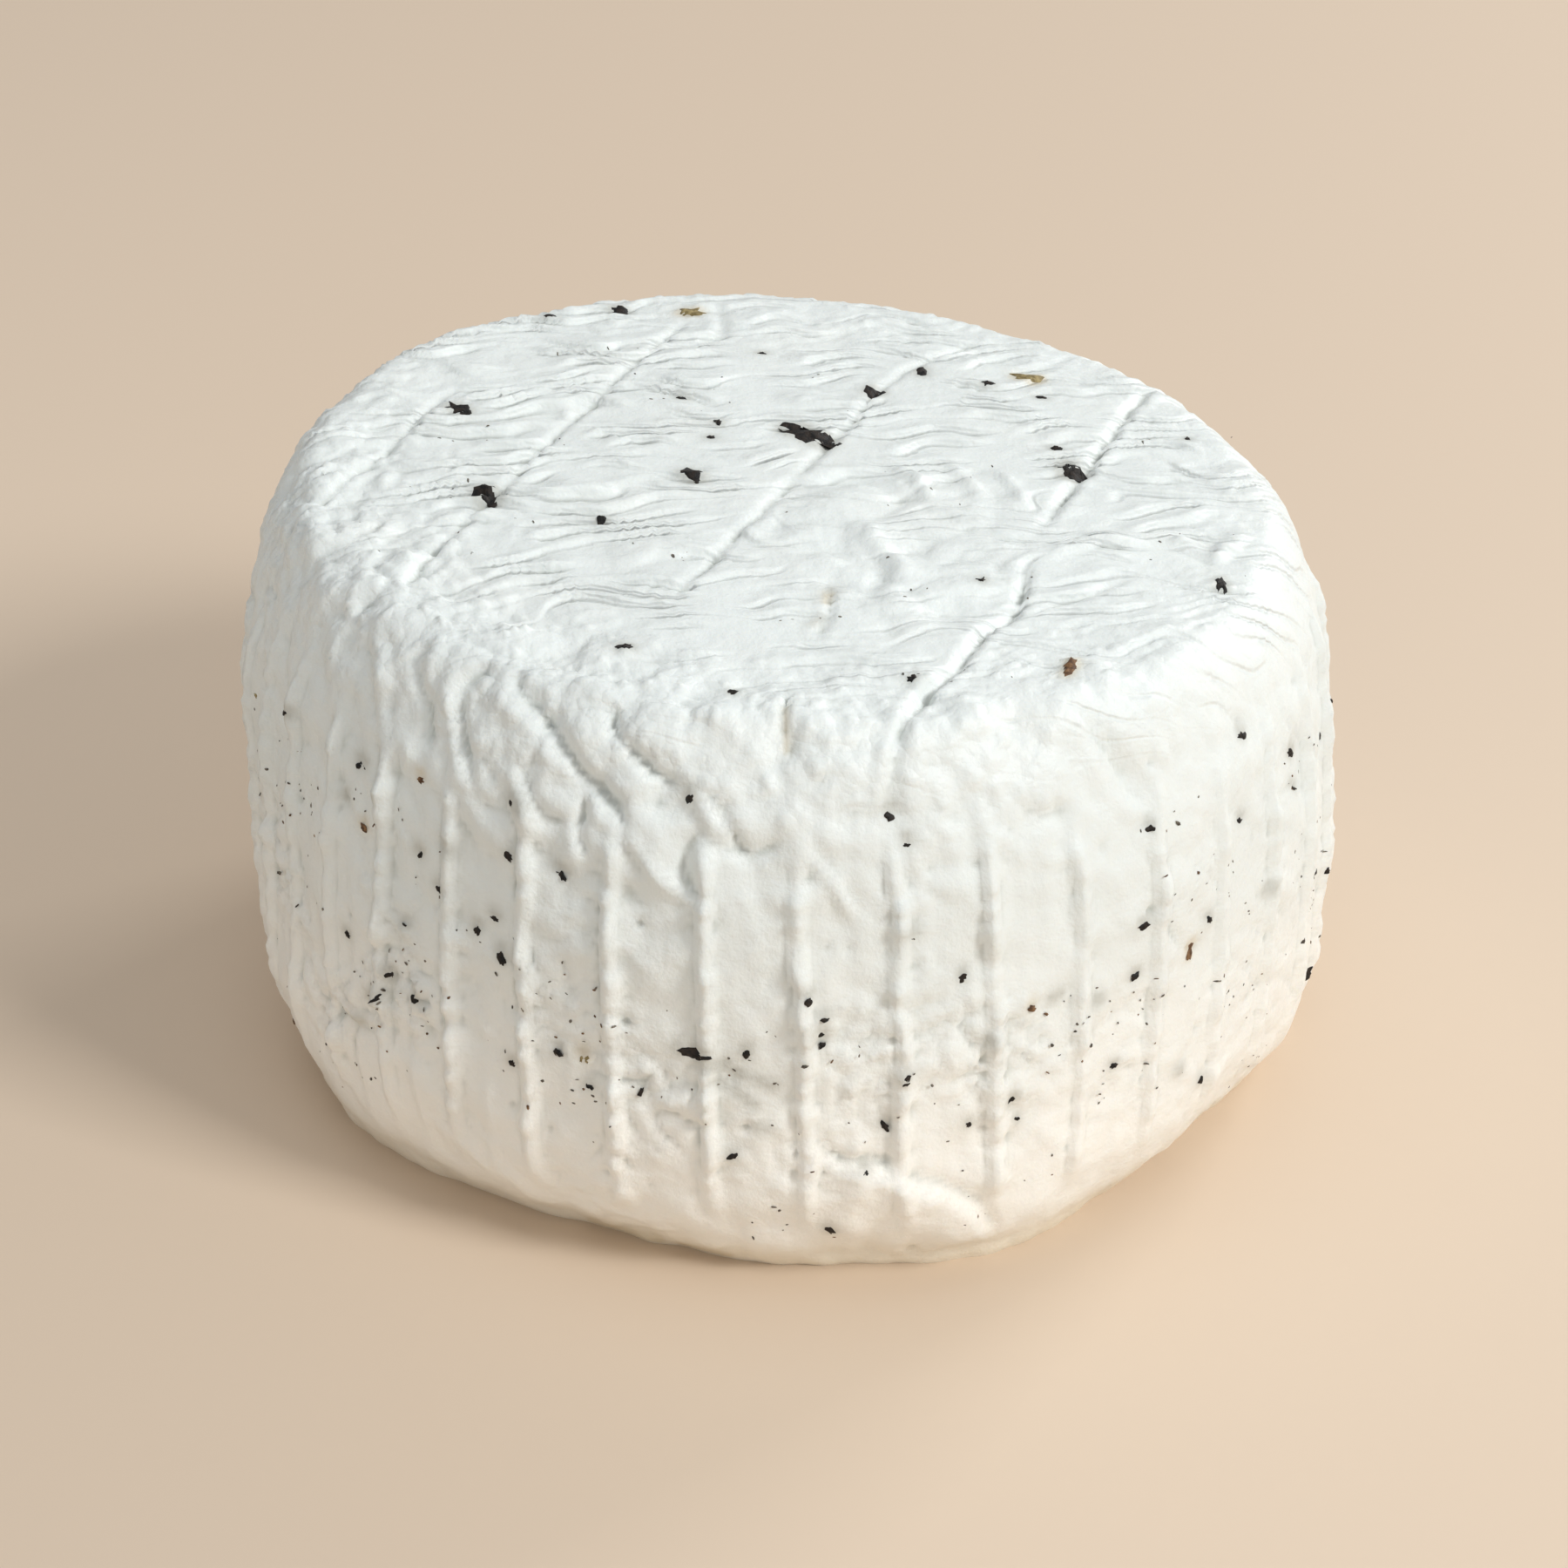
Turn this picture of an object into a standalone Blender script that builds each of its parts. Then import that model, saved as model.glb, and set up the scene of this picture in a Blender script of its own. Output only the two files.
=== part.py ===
"""A whole truffle primosale: a small, low drum of fresh white cheese with black truffle flecks.

The drum kept the marks of the basket and the cloth it drained in: forty upright ribs round the
wall, four slanting grooves and a net of soft wrinkles on the top, and a loose, uneven foot. The
largest truffle flecks are fused to it. Everything is one solid, in millimetres until it is built.
"""

import math

import bmesh
import bpy
import numpy as np
from mathutils import Vector
from mathutils.geometry import delaunay_2d_cdt

MM = 0.001

# The drum.
RADIUS = 59.4
HEIGHT = 63.6
CROWN = 0.8
TOP_TILT = 0.018
LEAN = -5.75
MIDDLE = (2.7, -0.2)

# The foot draws in below the belly, is oval, and has loose corners: (azimuth, half width, rise).
FOOT_HEIGHT = 18.0
FOOT_DRAW = 7.0
FOOT_POWER = 2.4
FOOT_OVAL = 0.06
FOOT_OVAL_AZIMUTH = 55.0
FOOT_CORNERS = (
    (-149.0, 24.0, 2.6),
    (-113.0, 24.0, -2.5),
    (-68.0, 20.0, 2.5),
    (-36.0, 16.0, -1.4),
    (2.0, 30.0, 2.0),
    (74.0, 30.0, 1.4),
    (128.0, 26.0, 1.8),
)
FOOT_CORNER_POWER = 6
LIP_HEIGHT = 2.6
LIP_REACH = 0.7

# The shoulder is a quarter of a superellipse between the wall and the top.
SHOULDER_WIDTH = 9.2
SHOULDER_HEIGHT = 31.0
SHOULDER_POWER = 2.05

# The ribs stand closer together on the left than on the right.
RIBS = 40
RIB_PITCH = 360.0 / RIBS
RIB_START = -143.0
RIB_CROWDING = 8.8
RIB_HALF_WIDTH = 1.3
RIB_HEIGHT = 1.05
RIB_FOOT = 7.0
RIB_TOP = 55.0
RIB_FADE = 9.0
BEAD_PITCH = 6.2

# The grooves of the top, from the top's centre: (points, depth, left width, right width).
GROOVES = (
    (((-49.0, -14.0), (-44.0, 0.0), (-37.5, 18.0)), 0.5, 1.9, 0.8),
    (((-39.2, -32.0), (-28.0, 0.0), (-12.5, 42.5)), 1.1, 2.3, 0.8),
    (((-11.6, -31.0), (0.5, 0.0), (10.6, 26.0), (13.0, 32.0), (22.0, 42.0)), 1.2, 2.3, 0.8),
    (((26.3, -9.0), (30.0, 2.0), (41.0, 33.0)), 1.3, 2.4, 0.9),
    (((8.6, -60.0), (14.0, -45.0), (19.5, -34.0), (23.0, -27.0), (25.0, -16.0)), 1.2, 1.7, 1.0),
    (((21.5, -29.5), (28.0, -24.0), (36.0, -17.0)), 0.6, 1.4, 0.9),
)
GROOVE_END = 7.0

# Folds of the top, each a low ridge: (points, height, half width).
FOLDS = (
    (((26.0, -15.0), (33.0, -10.0), (40.0, -8.5), (45.0, -11.0), (50.0, -4.0)), 0.85, 2.0),
    (((8.0, -8.0), (9.0, -14.0), (12.0, -20.0), (10.0, -27.0)), 0.7, 2.2),
    (((-46.0, -12.0), (-40.0, -20.0), (-38.0, -30.0)), 0.5, 1.8),
)

# A flap low on the front of the wall, raised on the right of its edge, by azimuth and height.
FLAP_EDGE = ((-87.0, 16.5), (-80.0, 14.5), (-76.0, 12.5), (-72.0, 8.0), (-69.5, 3.0))
FLAP_RISE = 1.0
FLAP_STEP = 2.2
FLAP_REACH = 11.0

# Wrinkles run across the top, rising to the right, gentle on the far side and steep on the near.
WRINKLE_PITCH = 3.4
WRINKLE_SLOPE = math.tan(math.radians(15.0))
WRINKLE_HEIGHT = 0.50
WRINKLE_TROUGH = 0.74
WRINKLE_STEP = 3.0

# How lumpy the curd is, and where it is loosest.
LUMP_HEIGHT = 0.5
LUMP_SIZE = 5.2
LOOSEST_AZIMUTH = -120.0
SOFT_HEIGHT = 0.55
SOFT_SIZE = 17.0

# Rows of the wall up to the shoulder's edge, as heights, and columns round each rib in degrees.
WALL_ROWS = (0.0, 1.1, 3.0, 6.2, 10.0, 14.5, 18.5, 22.0, 25.5, 29.0, 32.5, 36.5, 40.5, 44.5, 48.5,
             52.2, 55.6, 58.6, 60.8)
RIB_COLUMNS = (-1.3, 0.0, 1.3, 4.5)
BASE_ROW = 0

# Truffle flecks on the top: (x, y, length, width, turn in degrees).
TOP_FLECKS = (
    (2.0, 11.0, 7.2, 3.6, -35.0),
    (-31.5, -8.5, 5.2, 3.0, -75.0),
    (30.5, 7.3, 4.6, 3.2, -80.0),
    (-10.3, -1.0, 3.6, 2.5, -70.0),
    (9.2, 24.0, 3.0, 2.2, -55.0),
    (14.6, 30.6, 3.0, 1.5, 85.0),
    (-36.5, 13.0, 3.2, 2.2, -30.0),
    (-12.3, 44.4, 3.4, 2.2, 10.0),
    (26.7, 31.6, 4.2, 2.9, -30.0),
    (-20.5, 44.3, 2.4, 1.6, 0.0),
    (45.0, -17.0, 3.2, 1.3, 85.0),
    (28.3, -38.0, 3.2, 1.4, 70.0),
    (-15.5, -40.3, 1.9, 1.4, 20.0),
)

# Truffle flecks of the wall that show most: (azimuth, height, length, width, turn in degrees).
WALL_FLECKS = (
    (-99.0, 29.0, 3.5, 1.3, -4.0),
    (-116.5, 51.0, 2.0, 1.3, -30.0),
    (-136.5, 48.0, 2.0, 0.9, 10.0),
    (-149.0, 48.0, 2.3, 0.9, 25.0),
    (-117.5, 35.0, 1.7, 1.1, -65.0),
    (-131.0, 27.3, 1.8, 1.0, -80.0),
    (-94.0, 29.5, 1.4, 1.1, 70.0),
    (-81.0, 21.0, 1.4, 0.8, -70.0),
    (-86.5, 8.0, 1.7, 0.9, -65.0),
    (-45.0, 32.7, 2.2, 1.3, 70.0),
    (-68.0, 22.5, 1.3, 0.8, 40.0),
)

# Flecks of the wall that nothing shows are drawn by a rule, evenly between two azimuths.
HIDDEN_FLECKS = 16
HIDDEN_FROM = -14.0
HIDDEN_TO = 200.0
HIDDEN_LOW = 12.0
HIDDEN_HIGH = 52.0
FLECK_SIDES = 7
FLECK_SUNK = 1.2
FLECK_PROUD = 0.42
FLECK_REACH = 1.3

SEED = 23
LATTICE_SIZE = 512
LATTICE = np.random.default_rng(SEED).uniform(0.0, 1.0, (LATTICE_SIZE, LATTICE_SIZE))

CURD_COLOUR = (0.80, 0.80, 0.74, 1.0)
CURD_ROUGHNESS = 0.48
MERGE = 0.00002


def ease(t):
    """A smooth step from 0 to 1 as t goes from 0 to 1."""
    t = np.clip(t, 0.0, 1.0)
    return t * t * (3.0 - 2.0 * t)


def noise(x, y, layer, around=0):
    """Gradient noise, about one hump for each unit; around is where x meets its start, or 0."""
    x, y = np.asarray(x, float), np.asarray(y, float)
    left, low = np.floor(x).astype(int), np.floor(y).astype(int)
    across, up = x - left, y - low
    total = np.zeros(np.broadcast(x, y).shape)
    for di in (0, 1):
        for dj in (0, 1):
            i = (left + di) % around if around else left + di
            turn = 2.0 * math.pi * LATTICE[i % LATTICE_SIZE, (low + dj + 61 * layer) % LATTICE_SIZE]
            slope = np.cos(turn) * (across - di) + np.sin(turn) * (up - dj)
            weight_x = ease(across) if di else 1.0 - ease(across)
            weight_y = ease(up) if dj else 1.0 - ease(up)
            total = total + slope * weight_x * weight_y
    return 1.5 * total


def wall_noise(azimuth, z, size, layer, tall=1.0):
    """Noise on the unrolled wall, with humps about size wide and tall times as high."""
    cells = max(3, round(2.0 * math.pi * RADIUS / size))
    return noise(azimuth / 360.0 * cells, z / (size * tall), layer, around=cells)


def line_distance(x, y, points):
    """Distance to a line through points, positive on its right, and the length along it."""
    best = np.full(np.shape(x), 1e9)
    signed = np.zeros(np.shape(x))
    along = np.zeros(np.shape(x))
    start = 0.0
    for (ax, ay), (bx, by) in zip(points, points[1:]):
        length = math.hypot(bx - ax, by - ay)
        tx, ty = (bx - ax) / length, (by - ay) / length
        run = (x - ax) * tx + (y - ay) * ty
        held = np.clip(run, 0.0, length)
        away = np.hypot(x - ax - held * tx, y - ay - held * ty)
        side = np.where((x - ax) * ty - (y - ay) * tx >= 0.0, 1.0, -1.0)
        nearer = away < best
        best = np.where(nearer, away, best)
        signed = np.where(nearer, side * away, signed)
        along = np.where(nearer, start + run, along)
        start += length
    return signed, along, start


def end_fade(along, length):
    """How much of a line's depth is left near its two ends."""
    return ease(along / GROOVE_END) * ease((length - along) / GROOVE_END)


def looseness(azimuth):
    """How loose the curd is round the drum, from 0.3 to 1."""
    return 0.3 + 0.7 * ease((np.cos(np.radians(azimuth - LOOSEST_AZIMUTH)) + 0.2) / 1.1)


def wrinkle_phase(x, y):
    """Counts the wrinkles across the top: a whole number on each crest."""
    warp = 0.9 * noise(x / (4.2 * WRINKLE_PITCH), y / (2.8 * WRINKLE_PITCH), 1)
    warp = warp + 0.38 * noise(x / (1.7 * WRINKLE_PITCH), y / (1.3 * WRINKLE_PITCH), 2)
    return (y - WRINKLE_SLOPE * x) / WRINKLE_PITCH + warp


def crumb_share(x, y):
    """How crumbly the top is at a place, from 0 to 1."""
    edge = looseness(np.degrees(np.arctan2(y, x))) * ease((np.hypot(x, y) - 34.0) / 14.0)
    patch = 0.9 * ease(1.6 - np.hypot(x - 8.0, y + 20.0) / 11.0)
    left = 0.9 * ease(1.5 - np.hypot((x + 44.0) / 12.0, (y + 22.0) / 18.0))
    return np.maximum(np.maximum(edge, patch), np.maximum(left, 0.35 * ease((y - 30.0) / 14.0)))


def wrinkle_height(x, y):
    """The wrinkles, broken into stretches, higher on the left and lower where it is crumbly."""
    part = wrinkle_phase(x, y) % 1.0
    rise = ease((part - WRINKLE_TROUGH) / (1.0 - WRINKLE_TROUGH))
    terrace = np.where(part < WRINKLE_TROUGH, 1.0 - part / WRINKLE_TROUGH, rise)
    stretch = ease(0.6 + 1.5 * noise(x / 10.0, y / 5.5, 3)) * (1.0 - 0.6 * crumb_share(x, y))
    strong = 1.0 + 0.5 * ease((-14.0 - x) / 10.0)
    return WRINKLE_HEIGHT * strong * (terrace - 0.45) * stretch


def top_relief(x, y):
    """Height of the top's relief at a place measured from the top's centre."""
    height = wrinkle_height(x, y)
    for points, depth, left, right in GROOVES:
        signed, along, length = line_distance(x, y, points)
        wall = np.where(signed < 0.0, 1.0 + signed / left, 1.0 - signed / right)
        height = height - depth * np.clip(wall, 0.0, 1.0) * end_fade(along, length)
    for points, rise, half_width in FOLDS:
        signed, along, length = line_distance(x, y, points)
        ridge = ease(1.0 - np.abs(signed) / half_width)
        height = height + rise * ridge * end_fade(along + 3.0, length + 6.0)
    lumps = noise(x / LUMP_SIZE, y / LUMP_SIZE, 4) * (0.25 + 0.9 * crumb_share(x, y))
    return height + LUMP_HEIGHT * lumps + 0.35 * noise(x / SOFT_SIZE, y / SOFT_SIZE, 5)


def rib_azimuth(turn):
    """Azimuth of a place that lies turn degrees round the evenly divided basket."""
    return turn + RIB_CROWDING * np.sin(np.radians(turn))


def rib_turn(azimuth):
    """The other way round: the turn whose azimuth is given."""
    turn = azimuth
    for _ in range(12):
        turn = azimuth - RIB_CROWDING * np.sin(np.radians(turn))
    return turn


def rib_sway(turn, z):
    """How far the ribs stray from their even places, in degrees of turn."""
    return 0.45 * wall_noise(rib_azimuth(turn), z, 11.0, 23, 0.8)


def flap_relief(azimuth, z):
    """Height of the flap low on the front."""
    signed, along, length = line_distance(azimuth, z, FLAP_EDGE)
    side = np.where(signed < 0.0, 1.0 + signed / FLAP_STEP, 1.0 - signed / FLAP_REACH)
    return FLAP_RISE * ease(side) * ease(along / 4.0 + 0.15) * ease((length - along) / 4.0 + 0.15)


def wall_relief(turn, z):
    """How far the wall's ribs, lumps and soft hollows stand out, by turn and height."""
    azimuth = rib_azimuth(turn)
    count = (turn + rib_sway(turn, z) - RIB_START) / RIB_PITCH
    nearest = np.round(count)
    off = (count - nearest) * RIB_PITCH
    beads = 0.8 + 0.2 * np.sin(2.0 * math.pi * z / BEAD_PITCH + 2.4 * nearest)
    uneven = 1.0 + 0.45 * noise(z / 6.5, nearest * 0.61 + 9.0, 26)
    left = ease(1.0 - np.abs((azimuth + 150.0 + 180.0) % 360.0 - 180.0) / 36.0)
    fade = ease((z - RIB_FOOT) / RIB_FADE) * ease((RIB_TOP + 5.0 * left - z) / RIB_FADE)
    rib = np.clip(1.0 - np.abs(off) / RIB_HALF_WIDTH, 0.0, 1.0)
    loose = looseness(azimuth)
    height = RIB_HEIGHT * rib * beads * uneven * fade * (0.45 + 0.55 * loose)
    height = height + LUMP_HEIGHT * loose * wall_noise(azimuth, z, LUMP_SIZE, 6)
    return height + SOFT_HEIGHT * wall_noise(azimuth, z, SOFT_SIZE, 7) + flap_relief(azimuth, z)


def drum_profile(z):
    """Radius of the plain drum at a height, and the outward normal as radial and upward parts."""
    def radius(level):
        low = np.clip(1.0 - level / FOOT_HEIGHT, 0.0, 1.0) ** FOOT_POWER
        rim = HEIGHT - CROWN
        part = np.clip((level - rim + SHOULDER_HEIGHT) / SHOULDER_HEIGHT, 0.0, 1.0)
        round_in = 1.0 - (1.0 - part ** SHOULDER_POWER) ** (1.0 / SHOULDER_POWER)
        return RADIUS - FOOT_DRAW * low - SHOULDER_WIDTH * round_in
    step = 0.05
    slope = (radius(z + step) - radius(z - step)) / (2.0 * step)
    size = np.hypot(1.0, slope)
    return radius(z), 1.0 / size, -slope / size


def foot_spread(azimuth, z):
    """How far the oval, cornered foot and its lip stand out of the round drum."""
    share = np.clip(1.0 - z / HEIGHT, 0.0, 1.0)
    oval = RADIUS * FOOT_OVAL * share * np.cos(np.radians(2.0 * (azimuth - FOOT_OVAL_AZIMUTH)))
    spread = oval
    for centre, half_width, rise in FOOT_CORNERS:
        off = (azimuth - centre + 180.0) % 360.0 - 180.0
        spread = spread + rise * ease(1.0 - np.abs(off) / half_width) * share ** FOOT_CORNER_POWER
    floor = np.zeros_like(z)
    uneven = 0.6 + 0.7 * wall_noise(azimuth, floor, 9.0, 8) + 0.6 * wall_noise(azimuth, floor, 4.0, 9)
    return spread + LIP_REACH * uneven * ease(1.0 - z / LIP_HEIGHT)


def top_level(x, y):
    """Height of the plain top, crowned and tilted, at a place measured from its centre."""
    rim = RADIUS - SHOULDER_WIDTH
    return HEIGHT - CROWN * np.minimum((x * x + y * y) / rim ** 2, 1.0)


def set_in_place(x, y, z):
    """Leans and tilts a point of the upright drum, and centres the drum on the origin."""
    share = z / HEIGHT
    return np.stack([x + LEAN * share + MIDDLE[0], y + MIDDLE[1], z + TOP_TILT * y * share], -1)


def wall_point(turn, z):
    """Point of the finished wall."""
    turn, z = np.broadcast_arrays(np.asarray(turn, float), np.asarray(z, float))
    azimuth = rib_azimuth(turn)
    radius, outward, upward = drum_profile(z)
    radius = radius + foot_spread(azimuth, z)
    cos, sin = np.cos(np.radians(azimuth)), np.sin(np.radians(azimuth))
    blend = ease((z - 54.0) / 7.5)
    relief = wall_relief(turn, z) * (1.0 - blend) + top_relief(radius * cos, radius * sin) * blend
    relief = relief * ease(z / 2.5 + 0.15)
    radius = radius + outward * relief
    level = z + upward * relief * ease(z / 4.0)
    return set_in_place(radius * cos, radius * sin, level)


def top_point(x, y):
    """Point of the finished top at a place measured from its centre."""
    return set_in_place(x, y, top_level(x, y) + top_relief(x, y))


def column_turns():
    """Turns of the wall's columns: both flanks and the crest of each rib, and the panel between."""
    return np.array([RIB_START + RIB_PITCH * rib + off for rib in range(RIBS) for off in RIB_COLUMNS])


def spaced(points, gap):
    """Places along a line through points, about gap apart, with a rightward normal for each."""
    places = []
    for (ax, ay), (bx, by) in zip(points, points[1:]):
        length = math.hypot(bx - ax, by - ay)
        steps = max(1, round(length / gap))
        normal = ((by - ay) / length, (ax - bx) / length)
        for k in range(steps):
            share = k / steps
            places.append((ax + (bx - ax) * share, ay + (by - ay) * share, *normal))
    places.append((*points[-1], *normal))
    return places


def groove_lines(rim):
    """Lines along each groove's bottom and both its lips, kept inside the rim."""
    lines = []
    for points, _, left, right in GROOVES:
        for off in (-left, 0.0, right):
            line = [(x + nx * off, y + ny * off) for x, y, nx, ny in spaced(points, WRINKLE_STEP)]
            lines.append([p for p in line if math.hypot(*p) < rim - 1.3])
    return [line for line in lines if len(line) > 1]


def wrinkle_places(rim):
    """Places on the crests and in the troughs of the wrinkles, row by row."""
    places = []
    rows = math.ceil(1.5 * rim / WRINKLE_PITCH)
    for row in range(-rows, rows + 1):
        for phase in (row, row + WRINKLE_TROUGH):
            start = -rim + (row % 2) * WRINKLE_STEP / 2.0
            for k in range(math.ceil(2.0 * rim / WRINKLE_STEP) + 1):
                x = start + k * WRINKLE_STEP
                y = phase * WRINKLE_PITCH + WRINKLE_SLOPE * x
                for _ in range(8):
                    y -= float(wrinkle_phase(x, y) - phase) * WRINKLE_PITCH * 0.7
                if math.hypot(x, y) < rim - 1.3:
                    places.append((x, y))
    return places


def keep_apart(places, fixed, gap):
    """The places that lie at least gap from every fixed one and from each other."""
    kept = list(fixed)
    new = []
    for place in places:
        near = np.asarray(kept)
        if np.min(np.hypot(near[:, 0] - place[0], near[:, 1] - place[1])) >= gap:
            kept.append(place)
            new.append(place)
    return new


def build_drum():
    """The drum as one closed mesh: rows of wall, a net of triangles for the top, a flat base."""
    bm = bmesh.new()
    turns = column_turns()
    rows = []
    for z in WALL_ROWS:
        swayed = turns - rib_sway(turns, np.full(len(turns), z))
        rows.append([bm.verts.new(Vector(p) * MM) for p in wall_point(swayed, z)])
    for vert in rows[BASE_ROW]:
        vert.co.z = 0.0
    rim = RADIUS - SHOULDER_WIDTH
    azimuths = np.radians(rib_azimuth(turns))
    edge = [(rim * math.cos(a), rim * math.sin(a)) for a in azimuths]
    lines = groove_lines(rim)
    fixed = edge + [p for line in lines for p in line]
    places = fixed + keep_apart(wrinkle_places(rim), fixed, 0.8)
    count = len(edge)
    edges = [(k, (k + 1) % count) for k in range(count)]
    start = count
    for line in lines:
        edges += [(start + k, start + k + 1) for k in range(len(line) - 1)]
        start += len(line)
    flat, _, faces, origins, _, _ = delaunay_2d_cdt([Vector(p) for p in places], edges, [], 1, 1e-5)
    xs, ys = np.array([v.x for v in flat]), np.array([v.y for v in flat])
    net = [bm.verts.new(Vector(p) * MM) for p in top_point(xs, ys)]
    rows.append([None] * count)
    for vert, origin in zip(net, origins):
        for index in origin:
            if index < count:
                rows[-1][index] = vert
    for face in faces:
        bm.faces.new([net[k] for k in face])
    for lower, upper in zip(rows, rows[1:]):
        for k in range(count):
            j = (k + 1) % count
            bm.faces.new((lower[k], lower[j], upper[j]))
            bm.faces.new((lower[k], upper[j], upper[k]))
    bm.faces.new(list(reversed(rows[BASE_ROW])))
    bmesh.ops.recalc_face_normals(bm, faces=bm.faces)
    mesh = bpy.data.meshes.new("cheese")
    bm.to_mesh(mesh)
    bm.free()
    return bpy.data.objects.new("cheese", mesh)


def hidden_flecks():
    """Flecks for the wall that nothing shows, evenly spaced with a seeded stray."""
    rng = np.random.default_rng(SEED + 2)
    flecks = []
    step = (HIDDEN_TO - HIDDEN_FROM) / HIDDEN_FLECKS
    for k in range(HIDDEN_FLECKS):
        azimuth = HIDDEN_FROM + step * (k + rng.uniform(0.2, 0.8))
        z = rng.uniform(HIDDEN_LOW, HIDDEN_HIGH)
        length = rng.uniform(1.6, 2.8)
        flecks.append((azimuth, z, length, length * rng.uniform(0.5, 0.75), rng.uniform(-90.0, 90.0)))
    return tuple(flecks)


def build_fleck(name, centre, along, outward, length, width, rng):
    """A ragged flat chip, sunk in the curd with its upper face a little proud."""
    bm = bmesh.new()
    side = outward.cross(along).normalized()
    along = side.cross(outward).normalized()
    ragged = [rng.uniform(0.78, 1.18) for _ in range(FLECK_SIDES)]
    rings = []
    for level, size in ((-FLECK_SUNK, 0.7), (0.1, 1.0), (FLECK_PROUD, 0.66)):
        ring = []
        for k, stretch in enumerate(ragged):
            a = 2.0 * math.pi * k / FLECK_SIDES
            off = along * (0.5 * length * math.cos(a)) + side * (0.5 * width * math.sin(a))
            ring.append(bm.verts.new((centre + off * size * stretch + outward * level) * MM))
        rings.append(ring)
    for lower, upper in zip(rings, rings[1:]):
        for k in range(FLECK_SIDES):
            j = (k + 1) % FLECK_SIDES
            bm.faces.new((lower[k], lower[j], upper[j], upper[k]))
    bm.faces.new(list(reversed(rings[0])))
    bm.faces.new(rings[-1])
    bmesh.ops.triangulate(bm, faces=bm.faces)
    bmesh.ops.recalc_face_normals(bm, faces=bm.faces)
    mesh = bpy.data.meshes.new(name)
    bm.to_mesh(mesh)
    bm.free()
    return bpy.data.objects.new(name, mesh)


def facing(point_of, a, b):
    """A surface's point at (a, b), its directions of growing a and b, and its outward normal."""
    centre = Vector(point_of(a, b))
    across = Vector(point_of(a + FLECK_REACH, b)) - Vector(point_of(a - FLECK_REACH, b))
    up = Vector(point_of(a, b + FLECK_REACH)) - Vector(point_of(a, b - FLECK_REACH))
    return centre, across.normalized(), up.normalized(), across.cross(up).normalized()


def build_flecks(collection):
    """All the fused flecks: on the top, on the wall in view, and on the rest of the wall."""
    rng = np.random.default_rng(SEED + 1)
    for k, (x, y, length, width, turn) in enumerate(TOP_FLECKS):
        spot = facing(top_point, x, y)
        place_fleck(collection, f"top_fleck_{k}", spot, length, width, turn, rng)
    for k, (azimuth, z, length, width, turn) in enumerate(WALL_FLECKS + hidden_flecks()):
        spot = facing(wall_point, rib_turn(azimuth), z)
        place_fleck(collection, f"wall_fleck_{k}", spot, length, width, turn, rng)


def place_fleck(collection, name, spot, length, width, turn, rng):
    """Puts one fleck on its spot, its long side turned from the spot's own direction."""
    centre, across, up, outward = spot
    angle = math.radians(turn)
    along = across * math.cos(angle) + up * math.sin(angle)
    collection.objects.link(build_fleck(name, centre, along, outward, length, width, rng))


def fuse(drum, collection):
    """Unites the drum with a collection of flecks and removes what was united."""
    union = drum.modifiers.new("flecks", "BOOLEAN")
    union.operation = "UNION"
    union.operand_type = "COLLECTION"
    union.collection = collection
    union.solver = "EXACT"
    union.use_self = True
    depsgraph = bpy.context.evaluated_depsgraph_get()
    mesh = bpy.data.meshes.new_from_object(drum.evaluated_get(depsgraph))
    drum.modifiers.clear()
    drum.data = mesh
    for fleck in list(collection.objects):
        bpy.data.objects.remove(fleck)
    bpy.data.collections.remove(collection)


def clean(drum):
    """Welds the union's slivers and splits its faces into triangles."""
    bm = bmesh.new()
    bm.from_mesh(drum.data)
    bmesh.ops.remove_doubles(bm, verts=bm.verts, dist=MERGE)
    bmesh.ops.triangulate(bm, faces=[face for face in bm.faces if len(face.verts) > 3])
    bmesh.ops.recalc_face_normals(bm, faces=bm.faces)
    bm.to_mesh(drum.data)
    bm.free()


def curd_material():
    """Moist white curd."""
    material = bpy.data.materials.new("curd")
    material.use_nodes = True
    shader = material.node_tree.nodes["Principled BSDF"]
    shader.inputs["Base Color"].default_value = CURD_COLOUR
    shader.inputs["Roughness"].default_value = CURD_ROUGHNESS
    shader.inputs["Metallic"].default_value = 0.0
    return material


def main():
    """Builds the cheese in an empty scene."""
    for old in list(bpy.data.objects):
        bpy.data.objects.remove(old)
    drum = build_drum()
    bpy.context.scene.collection.objects.link(drum)
    flecks = bpy.data.collections.new("flecks")
    bpy.context.scene.collection.children.link(flecks)
    build_flecks(flecks)
    fuse(drum, flecks)
    clean(drum)
    drum.data.materials.clear()
    drum.data.materials.append(curd_material())
    drum.data.shade_smooth()
    drum.data.set_sharp_from_angle(angle=math.radians(40.0))


main()
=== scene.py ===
"""The looks of a whole truffle primosale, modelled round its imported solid.

The curd is one dense, closed skin whose ribs, grooves, wrinkles and lumps come from the same sizes
as the solid's. Truffle chips and specks are pieces of their own, one for each colour of each.
Lengths are in millimetres until a mesh is made, and then in metres.
"""

import logging
import math
from collections.abc import Sequence
from dataclasses import dataclass, field
from enum import Enum

import bpy
import numpy as np
from mathutils import Matrix, Vector


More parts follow.
